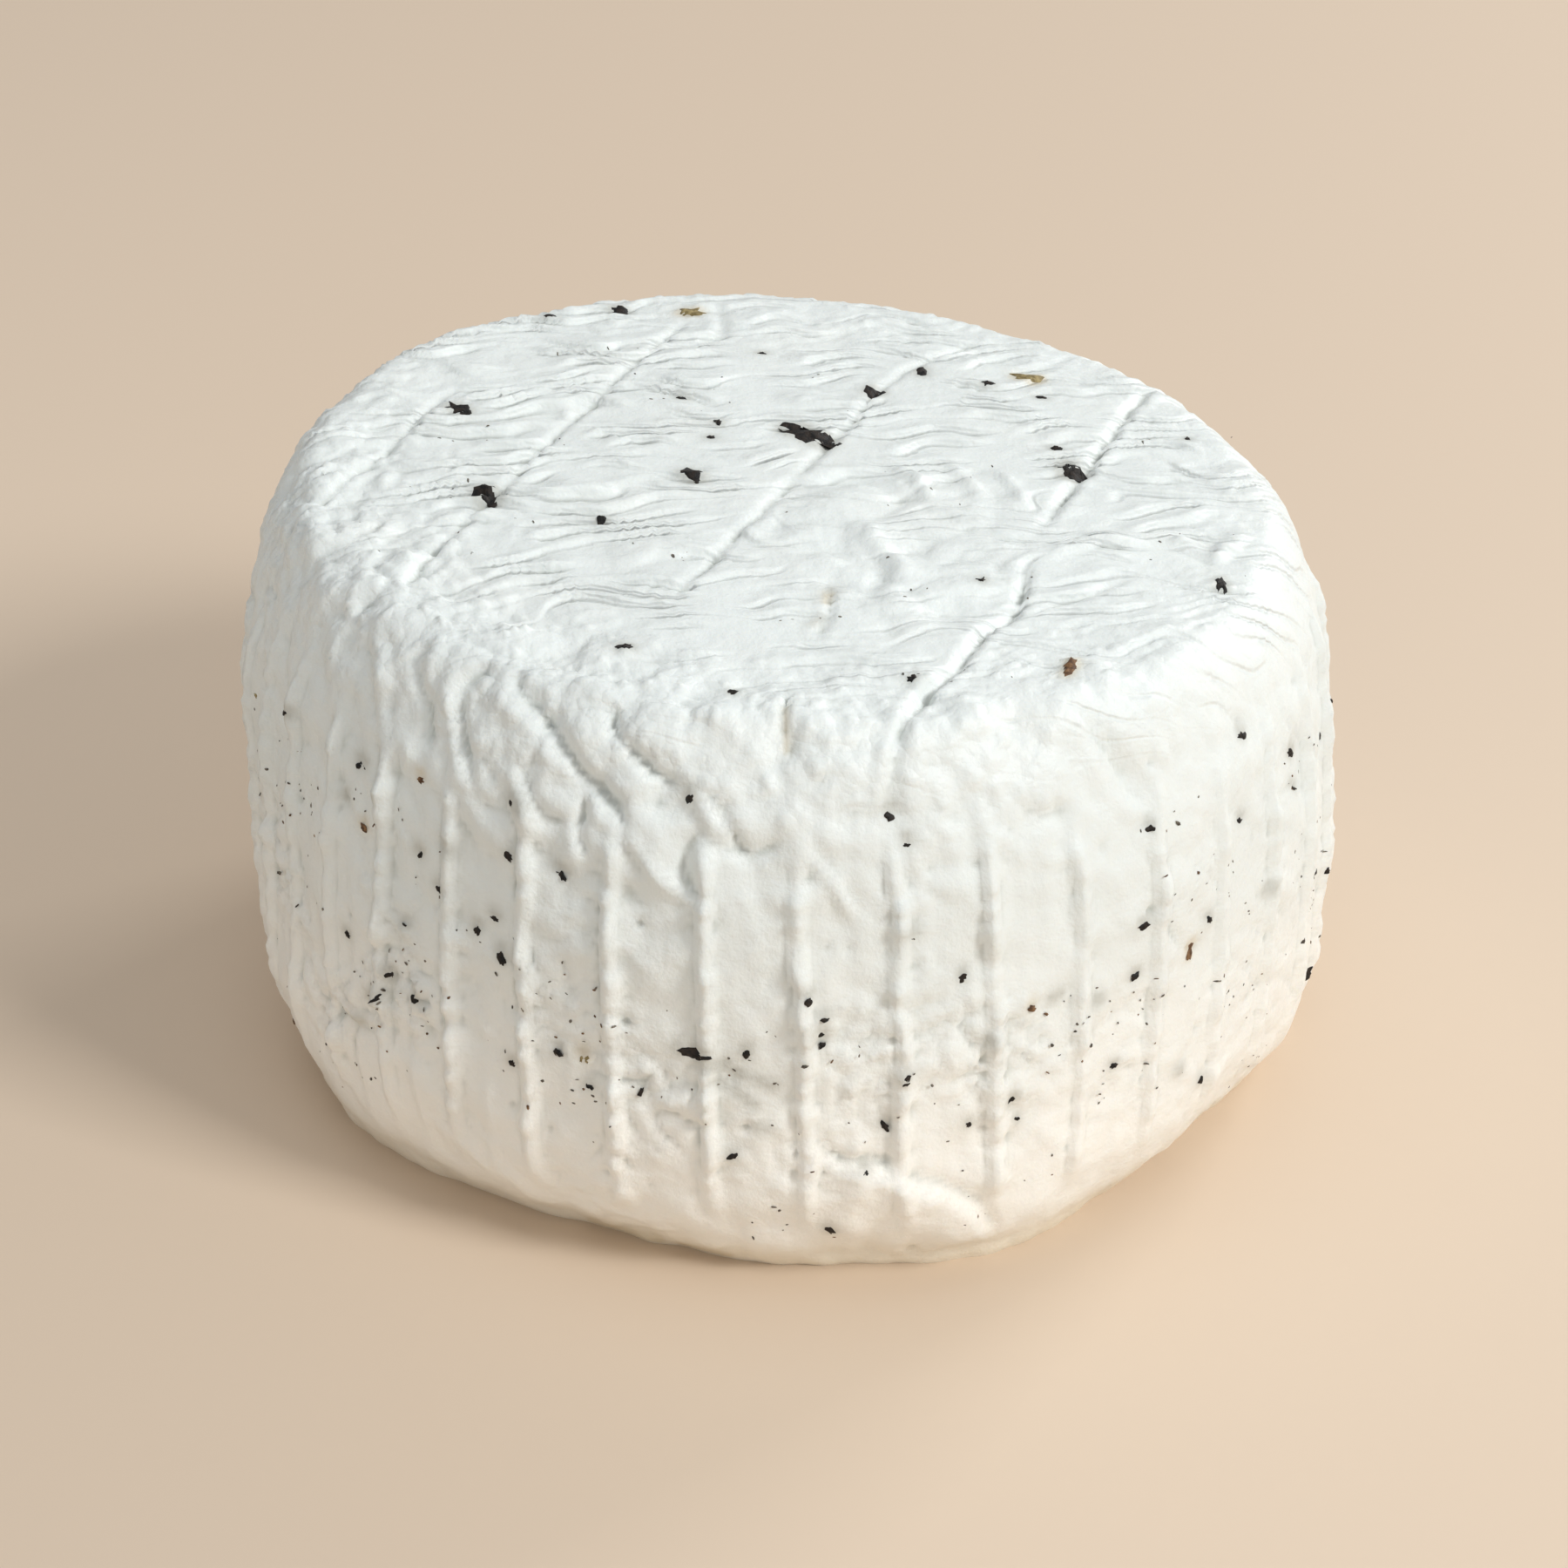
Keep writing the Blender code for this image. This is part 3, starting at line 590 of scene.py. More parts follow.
        between = ease(1.0 - (pitch / 2.0 - np.abs(off)) / 1.1)
        low = ease((32.0 - z) / 8.0) * ease((z - 5.0) / 6.0)
        where = bump(angle_off(azimuth, -130.0), 0.0, 26.0) + bump(angle_off(azimuth, 70.0), 0.0, 30.0)
        return main + self.faint_rib_height * between * low * where

    def crumb_belt(self, azimuth: Array, z: Array) -> Array:
        """Returns how far each place lies in the patchy belt of crumbs low on the wall."""
        patches = ease(0.5 + 1.3 * wall_grain(azimuth, z, 13.0, 27))
        return bump(z, 27.0, 19.0) * patches * looseness(azimuth)

    def crumb_share(self, azimuth: Array, z: Array) -> Array:
        """Returns how crumbly each place is, from 0 to 1."""
        shoulder = looseness(azimuth) ** 1.5 * ease((z - 50.0) / 9.0)
        return np.maximum(np.maximum(shoulder, 0.75 * self.crumb_belt(azimuth, z)), 0.04)

    def crumbs(self, azimuth: Array, z: Array) -> Array:
        """Returns the grains of curd on the shoulder and in a belt round the lower wall."""
        shoulder = looseness(azimuth) ** 1.5 * bump(z, 59.0, 9.0)
        big, _ = wall_cells(azimuth, z, 3.0, 28, 1.5)
        small, own = wall_cells(azimuth, z, 1.8, 31, 1.1)
        domes = np.clip(1.0 - 1.3 * big * big, 0.0, 1.0)
        grains = ease(1.25 - 2.8 * small) * ease((own - 0.35) / 0.3)
        belt = self.belt_grain_height * self.crumb_belt(azimuth, z)
        grown = self.dome_height * domes + self.grain_height * grains
        return shoulder * (grown - 0.35) + belt * (grains - 0.2)

    def torn_folds(self, azimuth: Array, z: Array) -> Array:
        """Returns the torn, sagging pads high on the wall."""
        front = 0.5 + 0.5 * bump(angle_off(azimuth, -108.0), 0.0, 34.0)
        where = looseness(azimuth) * bump(z, 52.0, 12.0) * front
        slanted = azimuth + 0.45 * z + 2.6 * wall_grain(azimuth, z, 5.0, 43)
        level = z + 2.4 * wall_grain(azimuth, z, 5.0, 58)
        away, _ = wall_cells(slanted, level, 5.0, 59)
        domes = np.clip(1.0 - 1.7 * away * away, 0.0, 1.0) - 0.65
        wave = wall_grain(slanted, level, 3.6, 44, 1.7)
        tears = np.minimum(np.abs(wave) * 1.9, 1.0) - 0.5
        return where * (self.pad_height * domes + self.tear_height * tears)

    def panels(self, azimuth: Array, z: Array) -> Array:
        """Returns the dents, scales, pits and faint streaks of the stretches between the ribs."""
        rough = 0.3 + 0.7 * looseness(azimuth)
        dents = self.dent_height * rough * wall_grain(azimuth, z, 2.8, 34, 1.2)
        streaks = 0.10 + 0.12 * bump(angle_off(azimuth, -8.0), 0.0, 44.0)
        streaks = streaks * wall_grain(azimuth, z, 1.8, 35, 7.0)
        patches = ease(0.4 + 1.3 * wall_grain(azimuth, z, 12.0, 47))
        scaly = ease(0.6 + 1.3 * wall_grain(azimuth, z, 13.0, 27))
        belt = bump(z, 24.0, 18.0) * looseness(azimuth) * scaly
        bent = z + 0.12 * azimuth + 1.6 * wall_grain(azimuth, z, 5.0, 60)
        scale = wall_grain(azimuth, bent, 3.4, 48, 0.7)
        tall = self.scale_height * patches + self.belt_scale_height * belt
        scales = rough * tall * (np.minimum(np.abs(scale) * 2.0, 1.0) - 0.5)
        away, own = wall_cells(azimuth, z, 3.4, 36)
        pits = -self.pit_depth * ease(1.0 - away / 0.28) * ease((own - 0.85) / 0.1)
        return dents + streaks + scales + pits

    def creases(self, azimuth: Array, z: Array) -> Array:
        """Returns the soft slanting creases of the smoother side."""
        smooth_side = ease(1.35 - looseness(azimuth) * 1.35)
        slant = z + 0.55 * azimuth
        wave = GRAIN.smooth(slant / 6.0, azimuth / 11.0, 39)
        return smooth_side * (0.30 * wave - 0.22 * np.exp(-(wave / 0.08) ** 2))

    def height(self, turn: Array, z: Array) -> Array:
        """Returns the whole relief by turn round the basket and height."""
        azimuth = self.azimuth_of(turn)
        lumps = looseness(azimuth) * wall_grain(azimuth, z, self.lump_size, 6)
        soft = wall_grain(azimuth, z, self.soft_size, 7)
        total = self.rib_relief(turn, z) + self.crumbs(azimuth, z) + self.panels(azimuth, z)
        total = total + self.torn_folds(azimuth, z) + self.creases(azimuth, z)
        return total + self.lump_height * lumps + self.soft_height * soft

    def fold_relief(self, turn: Array, z: Array) -> Array:
        """Returns the relief of the wall's own folds, which run on over the shoulder."""
        azimuth = angle_off(self.azimuth_of(turn), 0.0)
        arc = azimuth + 0.7 * wall_grain(azimuth, z, 8.0, 40)
        level = z + 0.7 * wall_grain(azimuth, z, 8.0, 41)
        near_rim = ease(self.drum.height - self.drum.crown - z)
        return near_rim * sum(fold.relief(arc, level) for fold in self.folds)


@dataclass(frozen=True)
class CurdSurface:
    """The finished surface of the cheese, as points of its wall and of its top."""

    drum: Drum
    wall: BasketWall
    top: ClothTop
    blend_start: float = 54.0
    blend_height: float = 7.5

    def wall_plan(self, turn: Array, z: Array) -> tuple[Array, Array]:
        """Returns the plain wall's places seen from above, from the drum's axis."""
        azimuth = self.wall.azimuth_of(turn)
        radius = self.drum.wall_radius(z) + self.drum.foot_spread(azimuth, z)
        return radius * np.cos(np.radians(azimuth)), radius * np.sin(np.radians(azimuth))

    def top_blend(self, z: Array) -> Array:
        """Returns how far the wall's relief has given way to the top's at each height."""
        return ease((z - self.blend_start) / self.blend_height)

    def wall_point(self, turn: Array, z: Array, proud: Array | float = 0.0) -> Array:
        """Places points of the wall.

        Args:
            turn: turns round the basket in degrees.
            z: heights.
            proud: how far out of the curd the points lie.

        Returns:
            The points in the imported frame, in millimetres.
        """
        turn, z, proud = np.broadcast_arrays(
            np.asarray(turn, float), np.asarray(z, float), np.asarray(proud, float))
        x, y = self.wall_plan(turn, z)
        outward, upward = self.drum.wall_normal(z)
        blend = self.top_blend(z)
        stretch = self.drum.rolled_out(z) / np.hypot(x, y)
        relief = self.wall.height(turn, z) * (1.0 - blend) + self.top.height(x, y, stretch) * blend
        relief = relief + self.wall.fold_relief(turn, z)
        relief = relief * ease(z / 2.5 + 0.15) + proud
        wider = 1.0 + outward * relief / np.hypot(x, y)
        return self.drum.set_in_place(x * wider, y * wider, z + upward * relief * ease(z / 4.0))

    def top_point(self, x: Array, y: Array, proud: Array | float = 0.0) -> Array:
        """Places points of the top, at places measured from its centre, in millimetres."""
        level = self.drum.top_level(x, y) + self.top.height(x, y) + proud
        return self.drum.set_in_place(x, y, level)


def new_mesh_object(name: str, points: Array, faces: list,
                    material: bpy.types.Material) -> bpy.types.Object:
    """Makes a smooth mesh object from points in millimetres.

    Args:
        name: the piece's name.
        points: the vertices' places.
        faces: the vertex numbers of each face.
        material: the piece's finish.

    Returns:
        The object, linked to the scene.
    """
    mesh = bpy.data.meshes.new(name)
    mesh.from_pydata((points * MM).tolist(), [], faces)
    mesh.validate()
    mesh.shade_smooth()
    mesh.materials.append(material)
    piece = bpy.data.objects.new(name, mesh)
    bpy.context.scene.collection.objects.link(piece)
    return piece


def write_value(piece: bpy.types.Object, name: str, values: Array) -> None:
    """Keeps a value on each vertex of a piece for its material to read."""
    held = piece.data.attributes.new(name, "FLOAT", "POINT")
    held.data.foreach_set("value", np.ascontiguousarray(values, dtype=np.float32))


@dataclass(frozen=True)
class CurdSkin:
    """The cheese's dense skin: a wall of rows and columns, a square net on the top, a flat base.

    Attributes:
        surface: the surface that it follows.
        net: number of the top net's squares along one side.
        wall_rows: number of the wall's rows.
        hollow_reach: number of smoothing rounds that say where the skin is hollow.
    """

    surface: CurdSurface
    net: int = 178
    wall_rows: int = 92
    hollow_reach: int = 7

    @property
    def columns(self) -> int:
        """Number of columns of the wall, which is the number of the net's edge points."""
        return 4 * self.net

    def row_heights(self) -> Array:
        """Returns the wall rows' heights, evenly spaced along the drum's profile."""
        levels, length = self.surface.drum.profile(4000)
        return np.interp(np.linspace(0.0, length[-1], self.wall_rows + 1), length, levels)[:-1]

    def net_places(self) -> tuple[Array, Array]:
        """Returns the top net's places: a square net stretched to fill the round top."""
        turn = np.linspace(-math.pi / 4.0, math.pi / 4.0, self.net + 1)
        side = math.sqrt(2.0) * np.sin(turn)
        u, v = np.meshgrid(side, side, indexing="ij")
        rim = self.surface.drum.rim
        return rim * u * np.sqrt(1.0 - v * v / 2.0), rim * v * np.sqrt(1.0 - u * u / 2.0)

    def net_edge(self) -> list[tuple[int, int]]:
        """Returns the net's edge points in turn, anticlockwise seen from above."""
        n = self.net
        right = [(n, k) for k in range(n)]
        far = [(n - k, n) for k in range(n)]
        left = [(0, n - k) for k in range(n)]
        near = [(k, 0) for k in range(n)]
        return right + far + left + near

    def faces(self, ring: Sequence[int]) -> list[tuple[int, ...]]:
        """Makes the skin's faces: the wall's rows, the top's net and the base.

        Args:
            ring: vertex numbers of the net's edge, which closes the wall's last row.

        Returns:
            The vertex numbers of each face.
        """
        count, side = self.columns, self.net + 1
        faces = []
        for r in range(self.wall_rows):
            start = r * count
            upper = range(start + count, start + 2 * count) if r < self.wall_rows - 1 else ring
            for k in range(count):
                j = (k + 1) % count
                faces.append((start + k, start + j, upper[j], upper[k]))
        for i in range(self.net):
            for j in range(self.net):
                a = self.wall_rows * count + i * side + j
                faces.append((a, a + side, a + side + 1, a + 1))
        faces.append(tuple(reversed(range(count))))
        return faces

    def build(self, material: bpy.types.Material) -> bpy.types.Object:
        """Builds the skin.

        Args:
            material: the curd's finish.

        Returns:
            The closed mesh object.
        """
        surface = self.surface
        x, y = self.net_places()
        edge = self.net_edge()
        edge_azimuth = np.unwrap([math.atan2(y[i, j], x[i, j]) for i, j in edge])
        turns = surface.wall.turn_of(np.degrees(edge_azimuth))
        rows = surface.wall_point(turns[None, :], self.row_heights()[:, None])
        rows[0, :, 2] = 0.0
        points = np.concatenate([rows.reshape(-1, 3), surface.top_point(x, y).reshape(-1, 3)])
        first = self.wall_rows * self.columns
        ring = [first + i * (self.net + 1) + j for i, j in edge]
        piece = new_mesh_object("curd", points, self.faces(ring), material)
        # The edge round the flat base stays sharp.
        on_base = (self.edge_ends(piece.data) < self.columns).all(1)
        sharp = piece.data.attributes.new("sharp_edge", "BOOLEAN", "EDGE")
        sharp.data.foreach_set("value", on_base)
        self.mark_texture(piece, turns, x, y)
        return piece

    def mark_texture(self, piece: bpy.types.Object, turns: Array, x: Array, y: Array) -> None:
        """Writes where the skin is crumbly or wrinkled, and how hollow it is for the painted shading,
        for its material.

        Args:
            piece: the skin.
            turns: turns of the wall's columns.
            x: places of the top net's points.
            y: places of the top net's points.
        """
        wall, top = self.surface.wall, self.surface.top
        turn, z = np.meshgrid(turns, self.row_heights())
        wall_x, wall_y = self.surface.wall_plan(turn, z)
        stretch = self.surface.drum.rolled_out(z) / np.hypot(wall_x, wall_y)
        wall_x, wall_y = wall_x * stretch, wall_y * stretch
        blend = self.surface.top_blend(z)
        crumbs = wall.crumb_share(wall.azimuth_of(turn), z) * (1.0 - blend)
        crumbs = crumbs + top.crumb_share(wall_x, wall_y) * blend
        cloth = top.wrinkle_share(wall_x, wall_y) * blend
        phase = top.wrinkle_phase(wall_x, wall_y, top.wrinkle_pitch, 1)
        on_top = (
            top.crumb_share(x, y),
            top.wrinkle_share(x, y),
            top.wrinkle_phase(x, y, top.wrinkle_pitch, 1),
        )
        for name, low, high in zip(("crumbs", "cloth", "wrinkle"), (crumbs, cloth, phase), on_top):
            write_value(piece, name, np.concatenate([low.reshape(-1), high.reshape(-1)]))
        # How hollow the skin is, which its material darkens as painted shading.
        write_value(piece, "hollow", self.hollows(piece.data))

    def edge_ends(self, mesh: bpy.types.Mesh) -> Array:
        """Returns the two vertex numbers of each edge."""
        ends = np.zeros(2 * len(mesh.edges), dtype=np.int32)
        mesh.edges.foreach_get("vertices", ends)
        return ends.reshape(-1, 2)

    def hollows(self, mesh: bpy.types.Mesh) -> Array:
        """Returns how far each vertex lies below the skin round it, in millimetres."""
        count = len(mesh.vertices)
        start, end = self.edge_ends(mesh).T
        points, normals = np.zeros(3 * count), np.zeros(3 * count)
        mesh.vertices.foreach_get("co", points)
        mesh.vertex_normals.foreach_get("vector", normals)
        points = points.reshape(-1, 3) / MM
        beside = np.bincount(start, minlength=count) + np.bincount(end, minlength=count)
        soft = points.copy()
        for _ in range(self.hollow_reach):
            for axis in range(3):
                held = soft[:, axis]
                total = np.bincount(start, held[end], count) + np.bincount(end, held[start], count)
                soft[:, axis] = 0.5 * (held + total / beside)
        return ((soft - points) * normals.reshape(-1, 3)).sum(1)


class TruffleKind(Enum):
    """Kinds of truffle fleck, by colour."""

    BLACK = "black"
    BROWN = "brown"
    OCHRE = "ochre"
    SMOKY = "smoky"


# Flecks that show on the top: (x, y, length, width, turn in degrees).
TOP_BLACK: tuple[Fleck, ...] = (
    (2.0, 11.0, 7.2, 3.6, -35.0), (-31.5, -8.5, 5.2, 3.0, -75.0), (30.5, 7.3, 4.6, 3.2, -80.0),
    (-10.3, -1.0, 3.6, 2.5, -70.0), (9.2, 24.0, 3.0, 2.2, -55.0), (14.6, 30.6, 3.0, 1.5, 85.0),
    (-36.5, 13.0, 3.2, 2.2, -30.0), (-20.5, 44.3, 2.4, 1.6, 0.0), (45.0, -17.0, 3.2, 1.3, 85.0),
    (-15.5, -40.3, 1.9, 1.4, 20.0), (29.0, 12.8, 1.4, 1.1, 0.0), (22.0, 28.0, 1.5, 1.1, 20.0),
    (28.0, 26.0, 1.4, 0.9, 0.0), (44.0, 18.5, 1.1, 0.8, 60.0), (-12.3, 18.8, 1.4, 1.0, 0.0),
    (-8.0, 12.5, 1.1, 0.9, 0.0), (-8.7, 8.7, 1.2, 0.8, 40.0), (-19.3, -13.3, 1.2, 1.1, 80.0),
    (20.0, -21.0, 1.3, 0.9, 45.0), (12.7, -42.5, 1.2, 1.0, 60.0), (-4.7, -47.0, 1.3, 1.1, 30.0),
    (-3.7, 33.0, 1.0, 0.7, 0.0), (-28.5, 40.5, 1.6, 1.1, 30.0),
)
TOP_OCHRE: tuple[Fleck, ...] = (
    (-12.3, 44.4, 3.4, 2.2, 10.0), (26.7, 31.6, 4.2, 2.9, -30.0),
)
TOP_BROWN: tuple[Fleck, ...] = ((28.3, -38.0, 3.2, 1.4, 70.0),)

# Flecks that show on the wall: (azimuth, height, length, width, turn in degrees).
WALL_BLACK: tuple[Fleck, ...] = (
    (-99.0, 29.0, 3.5, 1.3, -4.0), (-116.5, 51.0, 2.0, 1.3, -30.0), (-117.0, 46.0, 1.2, 1.0, -40.0),
    (-111.5, 45.5, 1.5, 0.8, -30.0), (-136.5, 48.0, 2.0, 0.9, 10.0), (-149.0, 48.0, 2.3, 0.9, 25.0),
    (-133.0, 46.5, 1.3, 0.7, -60.0), (-138.5, 43.5, 1.0, 0.8, 60.0), (-127.5, 42.3, 1.2, 0.8, 50.0),
    (-125.0, 39.5, 1.1, 0.8, 0.0), (-118.5, 38.8, 1.2, 0.7, 0.0), (-120.5, 36.8, 1.2, 0.9, 60.0),
    (-117.5, 35.0, 1.7, 1.1, -65.0), (-129.0, 33.8, 1.1, 0.9, 30.0), (-131.0, 27.3, 1.8, 1.0, -80.0),
    (-127.7, 26.0, 1.3, 0.9, -40.0), (-137.5, 28.7, 1.1, 0.9, 0.0), (-132.0, 24.7, 1.2, 0.7, 55.0),
    (-134.0, 23.3, 1.2, 0.6, 40.0), (-136.0, 19.3, 1.3, 0.9, 40.0), (-117.0, 23.0, 1.0, 0.8, 50.0),
    (-112.0, 26.0, 1.0, 0.9, 0.0), (-109.0, 23.0, 0.9, 0.8, 0.0), (-104.0, 23.5, 1.5, 0.5, 65.0),
    (-94.0, 29.5, 1.4, 1.1, 70.0), (-88.0, 36.2, 1.0, 0.8, 60.0), (-86.5, 34.0, 1.0, 0.6, 0.0),
    (-87.0, 32.3, 0.9, 0.7, 0.0), (-86.8, 31.0, 0.9, 0.7, 50.0), (-81.0, 21.0, 1.4, 0.8, -70.0),
    (-79.0, 27.0, 1.3, 0.8, 60.0), (-83.0, 16.2, 0.9, 0.7, 0.0), (-95.5, 17.5, 1.3, 0.7, 35.0),
    (-92.7, 20.8, 1.2, 0.6, -50.0), (-86.5, 8.0, 1.7, 0.9, -65.0), (-99.0, 55.5, 1.2, 0.8, 60.0),
    (-79.5, 54.8, 1.2, 0.9, 0.0), (-78.0, 52.0, 0.8, 0.7, 0.0), (-77.8, 42.6, 0.8, 0.7, 0.0),
    (-73.0, 37.5, 1.2, 0.7, 60.0), (-70.7, 30.0, 1.2, 0.8, 45.0), (-68.0, 22.5, 1.3, 0.8, 40.0),
    (-72.5, 20.2, 1.2, 0.8, -45.0), (-67.3, 19.7, 1.0, 0.6, -60.0), (-53.0, 32.7, 1.2, 1.0, 0.0),
    (-52.3, 38.6, 1.6, 0.9, 10.0), (-55.5, 22.6, 1.0, 0.8, 0.0), (-45.8, 18.3, 1.3, 0.9, -40.0),
    (-42.0, 15.5, 1.3, 0.9, -60.0), (-35.0, 53.5, 1.8, 0.8, -20.0), (-36.5, 44.7, 1.3, 0.7, -30.0),
    (-24.0, 47.0, 2.2, 1.0, -40.0), (-24.0, 43.0, 2.4, 0.5, -40.0), (-42.5, 35.7, 1.2, 0.7, -40.0),
    (-51.0, 49.0, 0.9, 0.7, 0.0),
)
WALL_BROWN: tuple[Fleck, ...] = (
    (-135.0, 42.0, 1.3, 0.9, 0.0), (-45.0, 32.7, 2.2, 1.3, 70.0), (-66.0, 33.0, 1.0, 0.8, 0.0),
    (-128.0, 50.0, 1.0, 0.7, 0.0),
)
WALL_OCHRE: tuple[Fleck, ...] = ((-109.5, 26.0, 1.4, 1.1, 0.0),)

# Stained places without a fleck, in the same terms, and a tint along the foot.
TOP_GREY: tuple[Fleck, ...] = (
    (4.4, -25.5, 2.4, 0.4, 75.0), (3.2, -32.0, 2.4, 0.4, 60.0),
)
TOP_RUST: tuple[Fleck, ...] = (
    (0.4, -51.3, 3.4, 0.05, 92.0), (4.2, -27.0, 2.0, 0.3, 75.0),
)
# An orange-brown tint along the foot at the front left.
WALL_RUST: tuple[Fleck, ...] = (
    (-109.0, 1.0, 9.0, 1.2, 0.0), (-100.0, 1.0, 6.0, 0.8, 0.0),
)
WALL_GREY: tuple[Fleck, ...] = (
    (-97.0, 27.6, 3.4, 1.2, -8.0), (-94.0, 26.5, 6.0, 0.8, -20.0), (-95.0, 24.5, 5.0, 0.6, -35.0),
    (-31.0, 34.0, 1.8, 1.2, 0.0), (-124.0, 44.0, 1.8, 0.9, -60.0), (-58.0, 31.0, 1.6, 1.0, 20.0),
    (-63.0, 33.0, 1.8, 0.7, 20.0),
)

# Places on the wall that are thick with specks: (azimuth, height).
SPECKLED: tuple[tuple[float, float], ...] = (
    (-95.0, 27.0), (-99.0, 24.0), (-112.0, 25.0), (-86.5, 30.0), (-132.0, 25.0), (-120.0, 37.0),
    (-60.0, 30.0), (-50.0, 24.0), (-110.0, 34.0), (-76.0, 23.0), (-128.0, 41.0), (-138.0, 45.0),
)


@dataclass(frozen=True)
class ChipShape:
    """How a truffle chip is made.

    Attributes:
        sides: number of corners of its outline.
        rings: sizes of its rings as shares of the outline.
        ragged: how far its outline strays, as a share.
        proud: greatest height out of the curd.
    """

    sides: int
    rings: tuple[float, ...]
    ragged: float
    proud: float

    def offsets(self, length: float, width: float, turn: float, rng: np.random.Generator) -> Array:
        """Draws one chip's points round its place.

        Args:
            length: the chip's length.
            width: its width.
            turn: how far its length is turned from the direction across, in degrees.
            rng: source of its raggedness.

        Returns:
            Offsets across, up and out of the curd, one row for each point.
        """
        angle = np.arange(self.sides) * 2.0 * math.pi / self.sides
        ragged = 1.0 + self.ragged * rng.uniform(-1.0, 0.7, self.sides)
        along = 0.5 * length * np.cos(angle) * ragged
        across = 0.5 * width * np.sin(angle) * ragged
        tilt = math.radians(turn)
        dx = along * math.cos(tilt) - across * math.sin(tilt)
        dy = along * math.sin(tilt) + across * math.cos(tilt)
        proud = min(self.proud, 0.16 * width)
        rows = [np.array([[0.0, 0.0, proud]])]
        for share in self.rings:
            last = share == self.rings[-1]
            rough = np.zeros(self.sides) if last else rng.uniform(-0.35, 0.35, self.sides)
            rise = proud * (1.0 - share ** 3 - 0.25 * last + rough)
            rows.append(np.stack([dx * share, dy * share, rise], -1))
        rows.append(np.array([[0.0, 0.0, -0.45 * width]]))
        return np.concatenate(rows)

    def faces(self) -> list[tuple[int, ...]]:
        """Returns the faces between one chip's points."""
        n, rings = self.sides, len(self.rings)
        last, bottom = 1 + (rings - 1) * n, 1 + rings * n
        faces = [(0, 1 + k, 1 + (k + 1) % n) for k in range(n)]
        for r in range(rings - 1):
            inner, outer = 1 + r * n, 1 + (r + 1) * n
            for k in range(n):
                j = (k + 1) % n
                faces.append((inner + k, outer + k, outer + j, inner + j))
        return faces + [(last + k, bottom, last + (k + 1) % n) for k in range(n)]


CHIP = ChipShape(sides=14, rings=(0.35, 0.65, 0.88, 1.0), ragged=0.38, proud=0.16)
SPECK = ChipShape(sides=6, rings=(0.6, 1.0), ragged=0.3, proud=0.10)


